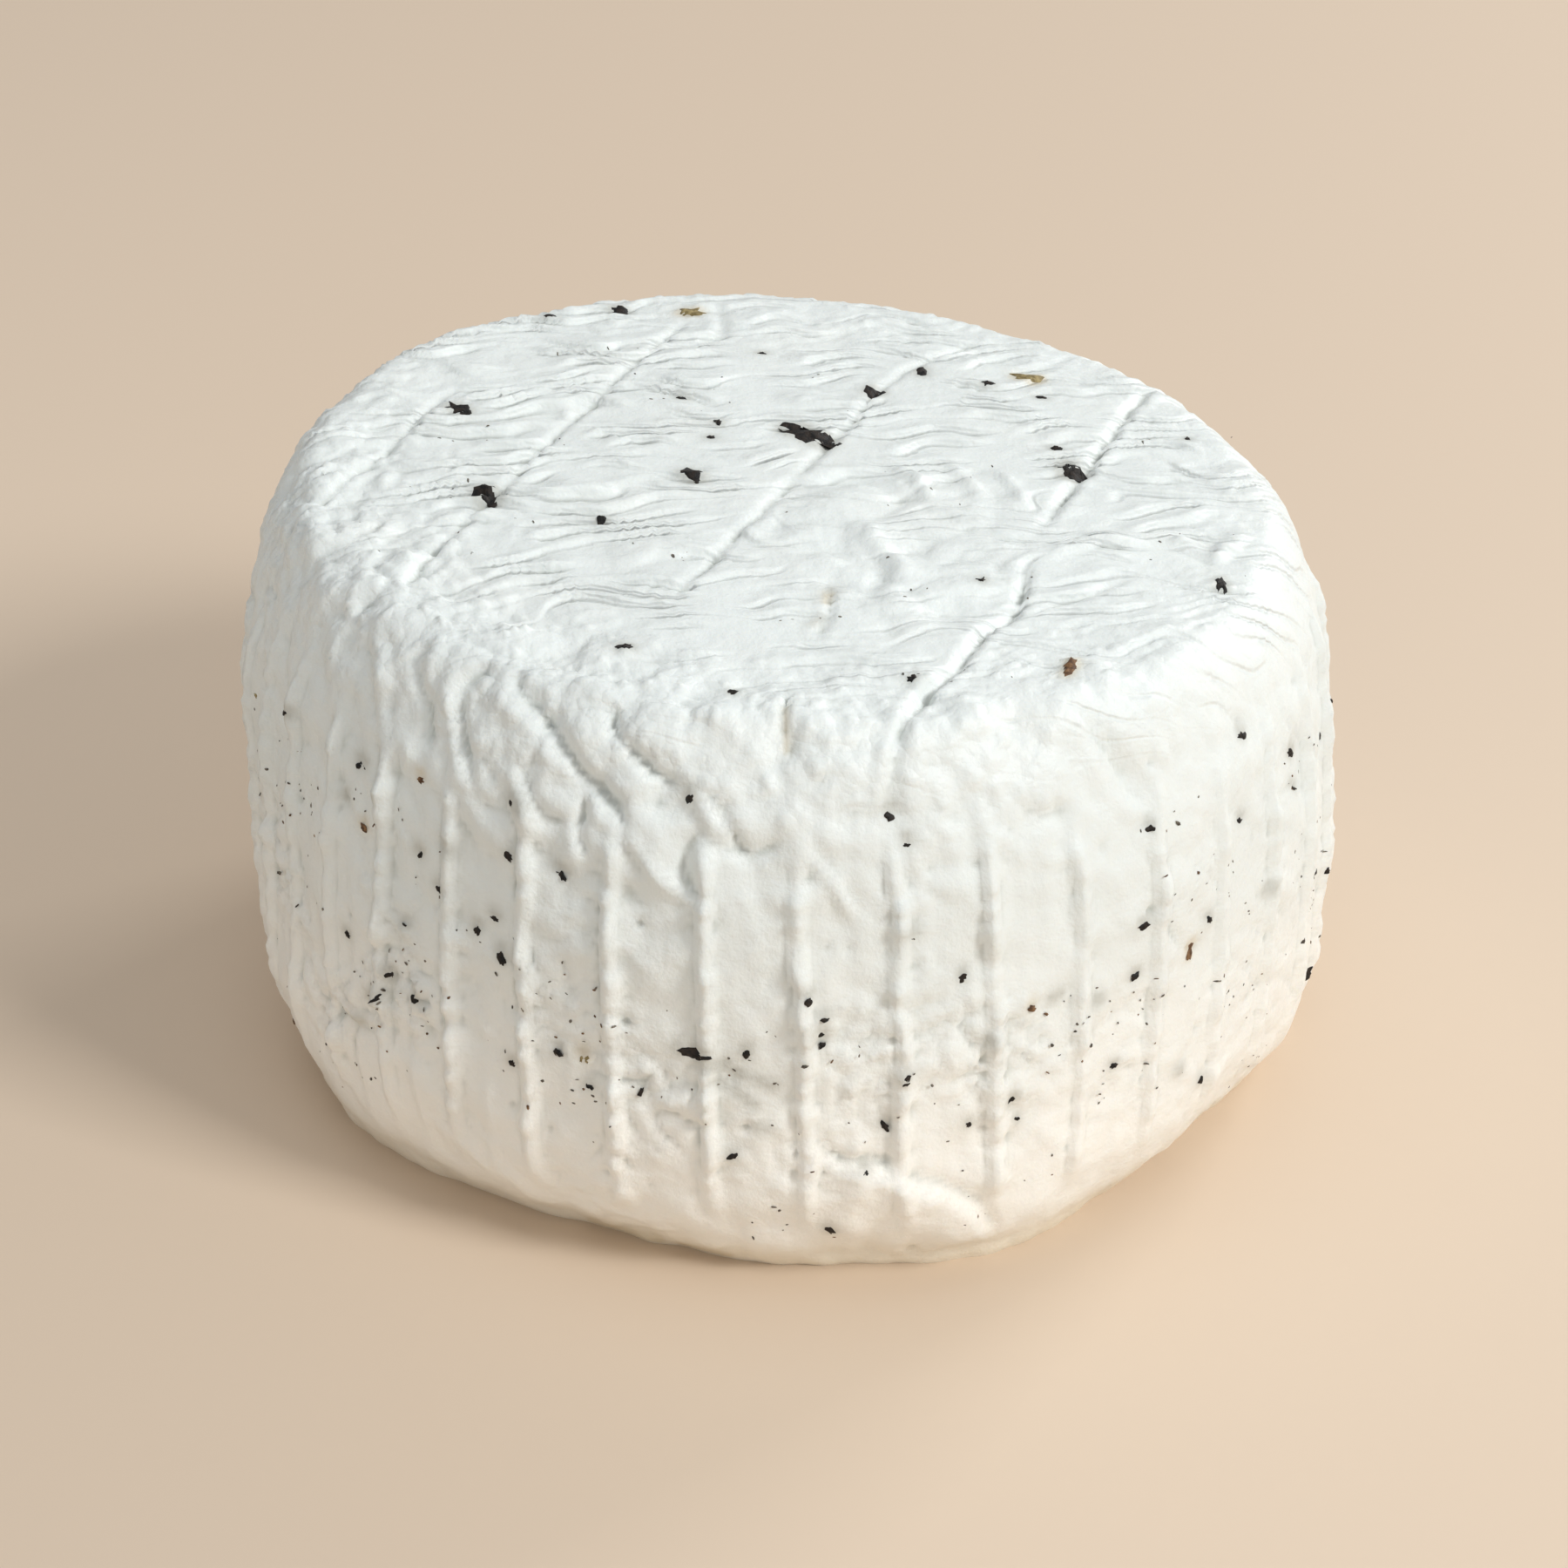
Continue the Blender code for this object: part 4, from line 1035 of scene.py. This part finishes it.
@dataclass(frozen=True)
class TruffleFlecks:
    """All the truffle in the curd's surface: placed chips, hidden chips and fine specks.

    Attributes:
        surface: the surface that carries the truffle.
        seed: seed of the small chips and the specks.
        large_seed: seed of the large chips on the hidden side.
        large_hidden: number of large chips on the hidden side.
        large_from: azimuth where their arc starts.
        large_arc: length of their arc in degrees.
        hidden_chips: number of small chips on the hidden side.
        hidden_from: azimuth where their arc starts.
        hidden_arc: length of their arc in degrees.
        speck_clusters: number of clusters of specks.
        cluster_reach: how far a cluster's specks stray across and up.
    """

    surface: CurdSurface
    seed: int = 41
    large_seed: int = 25
    large_hidden: int = 16
    large_from: float = -14.0
    large_arc: float = 214.0
    hidden_chips: int = 95
    hidden_from: float = -16.0
    hidden_arc: float = 222.0
    speck_clusters: int = 130
    cluster_reach: tuple[float, float] = (3.4, 2.0)

    def hidden(self, rng: np.random.Generator) -> list[Fleck]:
        """Draws the chips of the wall that the photo's view doesn't show."""
        flecks = []
        large = np.random.default_rng(self.large_seed)
        step = self.large_arc / self.large_hidden
        for k in range(self.large_hidden):
            azimuth = self.large_from + step * (k + large.uniform(0.2, 0.8))
            z = large.uniform(12.0, 52.0)
            length = large.uniform(1.6, 2.8)
            width = length * large.uniform(0.5, 0.75)
            flecks.append((azimuth, z, length, width, large.uniform(-90.0, 90.0)))
        step = self.hidden_arc / self.hidden_chips
        for k in range(self.hidden_chips):
            azimuth = self.hidden_from + step * (k + rng.uniform(0.0, 1.0))
            z = 5.0 + 50.0 * rng.beta(1.6, 1.7)
            length = 0.8 + 1.3 * rng.beta(1.2, 3.6)
            turn = rng.uniform(-80.0, 80.0)
            flecks.append((azimuth, z, length, length * rng.uniform(0.5, 0.85), turn))
        return flecks

    def speck_lists(self, rng: np.random.Generator) -> tuple[list[Fleck], list[Fleck]]:
        """Draws the fine specks in loose clusters: a few on the top, and most low on the wall."""
        top, wall = [], []
        reach_x, reach_y = self.cluster_reach
        for k in range(self.speck_clusters):
            on_top = k % 6 == 0
            far, turn = 46.0 * math.sqrt(rng.uniform()), rng.uniform(0.0, 2.0 * math.pi)
            place = (far * math.cos(turn), far * math.sin(turn))
            if not on_top:
                place = (rng.uniform(-180.0, 180.0), 6.0 + 48.0 * rng.beta(2.0, 2.6))
            if k % 6 == 1 and k // 6 < len(SPECKLED):
                place = SPECKLED[k // 6]
            for _ in range(rng.integers(2, 6) if on_top else rng.integers(4, 11)):
                size = 0.26 + 0.60 * rng.beta(1.1, 3.0)
                shape = (size, size * rng.uniform(0.35, 0.75), rng.uniform(-90.0, 90.0))
                dx, dy = rng.normal(0.0, reach_x), rng.normal(0.0, reach_y)
                level = place[1] + dy if on_top else float(np.clip(place[1] + dy, 3.5, 56.0))
                (top if on_top else wall).append((place[0] + dx, level, *shape))
        return top, wall

    def chip_points(self, shape: ChipShape, flecks: Sequence[Fleck],
                    rng: np.random.Generator) -> tuple[Array, Array]:
        """Returns the place of each chip, once for each of its points, and the points' offsets."""
        offsets = np.concatenate([shape.offsets(*fleck[2:], rng) for fleck in flecks])
        centres = np.repeat([fleck[:2] for fleck in flecks], len(offsets) // len(flecks), 0)
        return centres, offsets

    def make_piece(self, name: str, shape: ChipShape, top: Sequence[Fleck], wall: Sequence[Fleck],
                   finish: bpy.types.Material, rng: np.random.Generator) -> bpy.types.Object:
        """Makes one piece of all the chips of two lists.

        Args:
            name: the piece's name.
            shape: how its chips are made.
            top: flecks on the top.
            wall: flecks on the wall.
            finish: their material.
            rng: source of their raggedness.

        Returns:
            The piece.
        """
        degrees_per_mm = math.degrees(1.0 / self.surface.drum.radius)
        parts = []
        if top:
            centres, offsets = self.chip_points(shape, top, rng)
            x, y = (centres + offsets[:, :2]).T
            parts.append(self.surface.top_point(x, y, offsets[:, 2]))
        if wall:
            centres, offsets = self.chip_points(shape, wall, rng)
            turn = self.surface.wall.turn_of(centres[:, 0]) + offsets[:, 0] * degrees_per_mm
            parts.append(self.surface.wall_point(turn, centres[:, 1] + offsets[:, 1], offsets[:, 2]))
        points = np.concatenate(parts)
        pattern = shape.faces()
        chip = shape.sides * len(shape.rings) + 2
        starts = range(0, len(points), chip)
        faces = [tuple(start + k for k in face) for start in starts for face in pattern]
        return new_mesh_object(name, points, faces, finish)

    def build(self, finishes: dict[TruffleKind, bpy.types.Material]) -> list[bpy.types.Object]:
        """Builds one piece for each colour of chip, and one for each colour of fine speck.

        Args:
            finishes: the material of each kind.

        Returns:
            The pieces.
        """
        rng = np.random.default_rng(self.seed)
        hidden = self.hidden(rng)
        rare = self.hidden_chips // 8
        lists = {
            TruffleKind.BLACK: (TOP_BLACK, WALL_BLACK + tuple(hidden[:-rare])),
            TruffleKind.BROWN: (TOP_BROWN, WALL_BROWN + tuple(hidden[-rare::2])),
            TruffleKind.OCHRE: (TOP_OCHRE, WALL_OCHRE + tuple(hidden[1 - rare::2])),
        }
        pieces = []
        for kind, (top, wall) in lists.items():
            name = f"truffle_{kind.value}"
            pieces.append(self.make_piece(name, CHIP, top, wall, finishes[kind], rng))
        top, wall = self.speck_lists(rng)
        shares = {
            TruffleKind.SMOKY: (top, wall[::2] + wall[1::4]),
            TruffleKind.BROWN: ([], wall[3::4]),
        }
        for kind, (on_top, on_wall) in shares.items():
            name = f"specks_{kind.value}"
            pieces.append(self.make_piece(name, SPECK, on_top, on_wall, finishes[kind], rng))
        return pieces


@dataclass(frozen=True)
class NodeWriter:
    """Adds nodes to one shader node tree and links them as it goes.

    Attributes:
        tree: the tree that takes the nodes.
    """

    tree: bpy.types.NodeTree

    def feed(self, node: bpy.types.Node, inputs: dict[str | int, Feed]) -> None:
        """Gives each named input of a node its value, or a link from another node's output."""
        for name, value in inputs.items():
            if isinstance(value, bpy.types.NodeSocket):
                self.tree.links.new(value, node.inputs[name])
            else:
                node.inputs[name].default_value = value

    def add(self, kind: str, inputs: dict[str | int, Feed], **settings: object) -> bpy.types.Node:
        """Adds a node.

        Args:
            kind: the node's type without its first word.
            inputs: values and links by the inputs' names or numbers.
            settings: the node's plain settings.

        Returns:
            The node.
        """
        node = self.tree.nodes.new("ShaderNode" + kind)
        for name, value in settings.items():
            setattr(node, name, value)
        self.feed(node, inputs)
        return node

    def math(self, operation: str, *values: Feed, clamp: bool = False) -> bpy.types.NodeSocket:
        """Adds a calculation on its values and returns the result."""
        node = self.add("Math", dict(enumerate(values)), operation=operation, use_clamp=clamp)
        return node.outputs[0]

    def noise(self, place: Feed, scale: Feed, detail: float, **more: Feed) -> bpy.types.Node:
        """Adds a noise texture."""
        return self.add("TexNoise", {"Vector": place, "Scale": scale, "Detail": detail, **more})

    def ramp(self, value: Feed, start: float, end: float, low: Feed = 0.0, high: Feed = 1.0,
             smooth: bool = True) -> bpy.types.NodeSocket:
        """Adds a map from one range to another and returns its result."""
        names = ("Value", "From Min", "From Max", "To Min", "To Max")
        shape = "SMOOTHSTEP" if smooth else "LINEAR"
        values = dict(zip(names, (value, start, end, low, high)))
        return self.add("MapRange", values, interpolation_type=shape).outputs["Result"]

    def mix(self, share: Feed, under: Feed, over: Feed) -> bpy.types.NodeSocket:
        """Adds a mix of two colours and returns its result."""
        node = self.add("Mix", {}, data_type="RGBA")
        self.feed(node, {"Factor": share, "A": under, "B": over})
        return node.outputs["Result"]

    def kept_value(self, name: str) -> bpy.types.NodeSocket:
        """Reads a value that the mesh keeps on its vertices."""
        return self.add("Attribute", {}, attribute_name=name).outputs["Fac"]


def new_group(name: str, inputs: Sequence[str],
              outputs: Sequence[str]) -> tuple[NodeWriter, bpy.types.Node]:
    """Makes a node group with an input Vector, and plain values as its other inputs and outputs.

    Args:
        name: the group's name.
        inputs: names of its plain inputs.
        outputs: names of its outputs.

    Returns:
        A writer for the group's nodes, and the node that holds what the group is given.
    """
    group = bpy.data.node_groups.new(name, "ShaderNodeTree")
    group.interface.new_socket("Vector", in_out="INPUT", socket_type="NodeSocketVector")
    for way, sockets in (("INPUT", inputs), ("OUTPUT", outputs)):
        for socket in sockets:
            group.interface.new_socket(socket, in_out=way, socket_type="NodeSocketFloat")
    return NodeWriter(group), group.nodes.new("NodeGroupInput")


def fine_grain_group() -> bpy.types.ShaderNodeTree:
    """Builds the grain that the curd and the truffle share, from coarse, middle and fine noise."""
    sockets = ("Size", "Roughness Low", "Roughness High")
    nodes, given = new_group("fine_grain", sockets, ("Height", "Mask", "Roughness"))
    place, size, low, high = [given.outputs[name] for name in ("Vector", *sockets)]
    coarse = nodes.noise(place, size, 2.0).outputs["Fac"]
    fine = nodes.noise(place, nodes.math("MULTIPLY", size, 3.3), 2.0, Roughness=0.62).outputs["Fac"]
    nodes.feed(nodes.tree.nodes.new("NodeGroupOutput"), {
        "Height": nodes.math("MULTIPLY_ADD", fine, 0.45, coarse),
        "Mask": nodes.ramp(coarse, 0.38, 0.66),
        "Roughness": nodes.ramp(coarse, 0.0, 1.0, low, high, smooth=False),
    })
    return nodes.tree


def curd_relief_group() -> bpy.types.ShaderNodeTree:
    """Builds the curd's relief that is too fine for its mesh, in millimetres: crumbs and creases."""
    sockets = ("Crumbs", "Cloth", "Wrinkle")
    nodes, given = new_group("curd_relief", sockets, ("Height",))
    place, crumbs, cloth, wrinkle = [given.outputs[name] for name in ("Vector", *sockets)]
    bend = nodes.noise(place, 600.0, 2.0).outputs["Color"]
    moved = {0: bend, 1: (MM, MM, MM), 2: place}
    bent = nodes.add("VectorMath", moved, operation="MULTIPLY_ADD").outputs["Vector"]
    cells = nodes.add("TexVoronoi", {"Vector": bent, "Scale": 620.0}, feature="F1").outputs["Distance"]
    crumb = nodes.math("MULTIPLY", nodes.math("MULTIPLY", cells, crumbs), -0.21)
    turn = (0.0, 0.0, math.radians(-15.0))
    slant = {"Vector": bent, "Rotation": turn, "Scale": (150.0, 700.0, 400.0)}
    wave = nodes.noise(nodes.add("Mapping", slant).outputs["Vector"], 1.0, 1.0).outputs["Fac"]
    away = nodes.math("ABSOLUTE", nodes.math("SUBTRACT", nodes.math("FRACT", wrinkle), 0.82))
    crease = nodes.ramp(away, 0.0, 0.15, -0.28, 0.0)
    folded = nodes.math("ADD", crease, nodes.math("MULTIPLY", wave, 0.30))
    total = nodes.math("ADD", crumb, nodes.math("MULTIPLY", folded, cloth))
    nodes.feed(nodes.tree.nodes.new("NodeGroupOutput"), {"Height": total})
    return nodes.tree


def new_material(name: str) -> tuple[bpy.types.Material, NodeWriter, bpy.types.Node]:
    """Makes a material.

    Args:
        name: its name.

    Returns:
        The material, a writer for its nodes, and its shader.
    """
    material = bpy.data.materials.new(name)
    material.use_nodes = True
    return material, NodeWriter(material.node_tree), material.node_tree.nodes["Principled BSDF"]


@dataclass(frozen=True)
class CurdFinish:
    """Moist white curd: cool white above, cream towards the foot, stained round the truffle, with
    painted shading in its hollows and creases.

    Attributes:
        grain: the grain that it shares with the truffle.
        relief: its own fine crumbs and creases.
        cool: white of the top and the upper wall.
        warm: white of the lower wall.
        cream: colour of the foot's edge.
        painted_shade: painted shading, the colour that darkens hollows and creases.
        grey_stain: tint round black truffle.
        rust_stain: tint round brown and ochre truffle.
        depth: how deep light goes into it, in metres.
        soak: share of the light that goes in.
    """

    grain: bpy.types.ShaderNodeTree
    relief: bpy.types.ShaderNodeTree
    cool: tuple[float, float, float, float] = (0.785, 0.825, 0.80, 1.0)
    warm: tuple[float, float, float, float] = (0.94, 0.92, 0.85, 1.0)
    cream: tuple[float, float, float, float] = (0.82, 0.74, 0.58, 1.0)
    painted_shade: tuple[float, float, float, float] = (0.47, 0.50, 0.45, 1.0)
    grey_stain: tuple[float, float, float, float] = (0.38, 0.37, 0.31, 1.0)
    rust_stain: tuple[float, float, float, float] = (0.56, 0.42, 0.20, 1.0)
    depth: float = 0.0008
    soak: float = 0.1

    def build(self) -> bpy.types.Material:
        """Builds the material."""
        material, nodes, shader = new_material("moist_curd")
        place = nodes.add("TexCoord", {}).outputs["Object"]
        level = nodes.add("SeparateXYZ", {"Vector": place}).outputs["Z"]
        mottle = nodes.noise(place, 90.0, 4.0).outputs["Fac"]
        blotch = nodes.math("MULTIPLY_ADD", mottle, 0.5, -0.25)
        share = nodes.math("ADD", nodes.ramp(level, 0.046, 0.004), blotch, clamp=True)
        colour = nodes.mix(share, self.cool, self.warm)
        # Painted shading: the deeper a hollow or crease, the more the colour goes to a darker
        # grey-green.
        hollow = nodes.ramp(nodes.kept_value("hollow"), 0.05, 0.45, 0.0, 0.54)
        colour = nodes.mix(hollow, colour, self.painted_shade)
        colour = nodes.mix(nodes.ramp(level, 0.007, 0.0, 0.0, 0.75), colour, self.cream)
        colour = nodes.mix(nodes.kept_value(StainKind.GREY.value), colour, self.grey_stain)
        colour = nodes.mix(nodes.kept_value(StainKind.RUST.value), colour, self.rust_stain)
        roughness = {"Roughness Low": 0.34, "Roughness High": 0.58}
        inputs = {"Vector": place, "Size": 750.0, **roughness}
        grain = nodes.add("Group", inputs, node_tree=self.grain)
        marks = {name.capitalize(): nodes.kept_value(name) for name in ("crumbs", "cloth", "wrinkle")}
        fine = nodes.add("Group", {"Vector": place, **marks}, node_tree=self.relief)
        height = nodes.math("MULTIPLY_ADD", grain.outputs["Height"], 0.13, fine.outputs["Height"])
        relief = nodes.add("Bump", {"Strength": 1.0, "Distance": 0.001, "Height": height})
        nodes.feed(shader, {
            "Base Color": colour,
            "Roughness": grain.outputs["Roughness"],
            "Normal": relief.outputs["Normal"],
            "Subsurface Weight": self.soak,
            "Subsurface Radius": (1.0, 0.8, 0.6),
            "Subsurface Scale": self.depth,
            "IOR": 1.4,
        })
        return material


@dataclass(frozen=True)
class TruffleFinish:
    """Truffle flesh: a dark ground with paler veins, rough and slightly moist.

    Attributes:
        kind: which truffle it is.
        grain: the grain that it shares with the curd.
        ground: colour of the flesh.
        vein: colour of the paler veins.
    """

    kind: TruffleKind
    grain: bpy.types.ShaderNodeTree
    ground: tuple[float, float, float, float]
    vein: tuple[float, float, float, float]

    def build(self) -> bpy.types.Material:
        """Builds the material."""
        material, nodes, shader = new_material(f"truffle_{self.kind.value}")
        place = nodes.add("TexCoord", {}).outputs["Object"]
        roughness = {"Roughness Low": 0.38, "Roughness High": 0.8}
        inputs = {"Vector": place, "Size": 1600.0, **roughness}
        grain = nodes.add("Group", inputs, node_tree=self.grain)
        height = grain.outputs["Height"]
        relief = nodes.add("Bump", {"Strength": 0.8, "Distance": 0.0002, "Height": height})
        nodes.feed(shader, {
            "Base Color": nodes.mix(grain.outputs["Mask"], self.ground, self.vein),
            "Roughness": grain.outputs["Roughness"],
            "Normal": relief.outputs["Normal"],
            "Specular IOR Level": 0.3,
        })
        return material


class StainKind(Enum):
    """Kinds of tint in the curd, each kept as a value on its vertices."""

    GREY = "stain_grey"
    RUST = "stain_rust"


@dataclass(frozen=True)
class CurdStain:
    """The tint that truffle leaves in the curd round it, kept as a value on each vertex.

    Attributes:
        drum: the plain drum, which says where the places lie.
        kind: which tint it is.
        spread: distance over which it fades.
        strength: its strength on the fleck itself.
        top_depth: how far below the top's level the top's flecks still tint the curd.
        rim_margin: how far inside the rim the wall's flecks still tint the curd.
    """

    drum: Drum
    kind: StainKind
    spread: float
    strength: float
    top_depth: float = 9.0
    rim_margin: float = 2.0

    def apply(self, curd: bpy.types.Object, top: Sequence[Fleck], wall: Sequence[Fleck]) -> None:
        """Writes the stain round places on the curd.

        Args:
            curd: the curd's mesh object.
            top: stained places on the top, as flecks.
            wall: stained places on the wall, as flecks.
        """
        points = np.zeros(len(curd.data.vertices) * 3)
        curd.data.vertices.foreach_get("co", points)
        points = points.reshape(-1, 3) / MM
        share = points[:, 2] / self.drum.height
        x = points[:, 0] - self.drum.middle[0] - self.drum.lean * share
        y = points[:, 1] - self.drum.middle[1]
        azimuth = np.degrees(np.arctan2(y, x))
        above = points[:, 2] > self.drum.height - self.top_depth
        beside = np.hypot(x, y) > self.drum.rim - self.rim_margin
        stain = np.zeros(len(points))
        for fx, fy, length, width, turn in top:
            glow = self.glow(x - fx, y - fy, length, width, turn)
            stain = np.maximum(stain, glow * above)
        for f_azimuth, z, length, width, turn in wall:
            arc = np.radians(angle_off(azimuth, f_azimuth)) * self.drum.radius
            glow = self.glow(arc, points[:, 2] - z, length, width, turn)
            stain = np.maximum(stain, glow * beside)
        write_value(curd, self.kind.value, self.strength * stain)

    def glow(self, dx: Array, dy: Array, length: float, width: float, turn: float) -> Array:
        """Returns the tint round an oval: 1 on it, fading away from its edge."""
        cos, sin = math.cos(math.radians(turn)), math.sin(math.radians(turn))
        along, across = np.abs(dx * cos + dy * sin), np.abs(dy * cos - dx * sin)
        past_end = np.clip(along - 0.5 * (length - width), 0.0, None)
        away = np.hypot(past_end, across) - 0.5 * width
        return np.exp(-np.clip(away, 0.0, None) / self.spread)


@dataclass(frozen=True)
class Studio:
    """A plain pale floor, soft light from the right and above, and the camera at the photo's view."""

    eye: tuple[float, float, float] = (-0.00885, -0.39075, 0.24055)
    photo_up: tuple[float, float, float] = (-0.06356, 0.53259, 0.84398)
    aim: tuple[float, float, float] = (-0.0012, 0.0, 0.0262)
    lens: float = 92.0
    lit_place: tuple[float, float, float] = (0.0, 0.0, 0.03)
    floor_size: float = 6.0
    floor_colour: tuple[float, float, float, float] = (0.70, 0.565, 0.43, 1.0)
    sky_colour: tuple[float, float, float, float] = (0.97, 0.98, 1.0, 1.0)
    sky_strength: float = 0.44

    def add_floor(self) -> bpy.types.Object:
        """Adds the floor."""
        half = self.floor_size / 2.0 / MM
        signs = ((-1.0, -1.0), (1.0, -1.0), (1.0, 1.0), (-1.0, 1.0))
        corners = np.array([(half * across, half * deep, 0.0) for across, deep in signs])
        floor = new_mesh_object("floor", corners, [(0, 1, 2, 3)], self.floor_material())
        return floor

    def floor_material(self) -> bpy.types.Material:
        """Builds the floor's plain matt finish."""
        material, nodes, shader = new_material("pale_floor")
        nodes.feed(shader, {"Base Color": self.floor_colour, "Roughness": 0.7})
        return material

    def add_area_light(self, name: str, place: tuple[float, float, float], size: float,
                       power: float) -> None:
        """Adds a soft, white, square light that faces the cheese."""
        light = bpy.data.lights.new(name, "AREA")
        light.size = size
        light.energy = power
        holder = bpy.data.objects.new(name, light)
        holder.location = place
        towards = Vector(self.lit_place) - Vector(place)
        holder.rotation_euler = towards.to_track_quat("-Z", "Y").to_euler()
        bpy.context.scene.collection.objects.link(holder)

    def add_camera(self) -> None:
        """Adds the camera, with the photo's place, direction and roll."""
        camera = bpy.data.cameras.new("camera")
        camera.lens = self.lens
        camera.sensor_width = 36.0
        camera.clip_start = 0.01
        holder = bpy.data.objects.new("camera", camera)
        forward = (Vector(self.aim) - Vector(self.eye)).normalized()
        right = forward.cross(Vector(self.photo_up)).normalized()
        up = right.cross(forward)
        turn = Matrix((right, up, -forward)).transposed()
        holder.matrix_world = Matrix.Translation(Vector(self.eye)) @ turn.to_4x4()
        bpy.context.scene.collection.objects.link(holder)
        bpy.context.scene.camera = holder

    def build(self) -> None:
        """Sets the floor, the sky, the lights and the camera."""
        self.add_floor()
        world = bpy.data.worlds.new("studio")
        world.use_nodes = True
        sky = world.node_tree.nodes["Background"]
        sky.inputs["Color"].default_value = self.sky_colour
        sky.inputs["Strength"].default_value = self.sky_strength
        bpy.context.scene.world = world
        self.add_area_light("key", (0.756, -0.472, 0.802), 0.33, 7.9)
        self.add_area_light("rear", (0.668, 0.795, 0.60), 0.33, 3.9)
        self.add_area_light("front", (-0.10, -0.70, 0.06), 0.40, 0.75)
        self.add_area_light("fill", (-0.20, 0.0, 1.0), 0.5, 1.1)
        bpy.context.scene.view_settings.view_transform = "Standard"
        self.add_camera()


def main() -> None:
    """Builds the cheese and its studio."""
    logging.basicConfig(level=logging.INFO, format="%(name)s: %(message)s")
    drum = Drum()
    surface = CurdSurface(drum, BasketWall(drum), ClothTop(drum))
    grain = fine_grain_group()
    curd = CurdSkin(surface).build(CurdFinish(grain, curd_relief_group()).build())
    grey = CurdStain(drum, StainKind.GREY, 0.5, 0.5)
    grey.apply(curd, TOP_BLACK + TOP_GREY, WALL_BLACK + WALL_GREY)
    rust = CurdStain(drum, StainKind.RUST, 0.35, 0.4)
    rust.apply(curd, TOP_BROWN + TOP_OCHRE + TOP_RUST, WALL_BROWN + WALL_OCHRE + WALL_RUST)
    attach(curd, BODY)
    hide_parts(NODE)
    log.info("curd: %d faces", len(curd.data.polygons))
    colours = {
        TruffleKind.BLACK: ((0.005, 0.0045, 0.004, 1.0), (0.026, 0.018, 0.013, 1.0)),
        TruffleKind.BROWN: ((0.09, 0.045, 0.022, 1.0), (0.24, 0.13, 0.06, 1.0)),
        TruffleKind.OCHRE: ((0.20, 0.15, 0.06, 1.0), (0.38, 0.30, 0.14, 1.0)),
        TruffleKind.SMOKY: ((0.06, 0.05, 0.04, 1.0), (0.22, 0.19, 0.15, 1.0)),
    }
    finishes = {kind: TruffleFinish(kind, grain, *pair).build() for kind, pair in colours.items()}
    for piece in TruffleFlecks(surface).build(finishes):
        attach(piece, BODY)
        log.info("%s: %d faces", piece.name, len(piece.data.polygons))
    Studio().build()
    log.info("studio set")


if __name__ == "__main__":
    main()
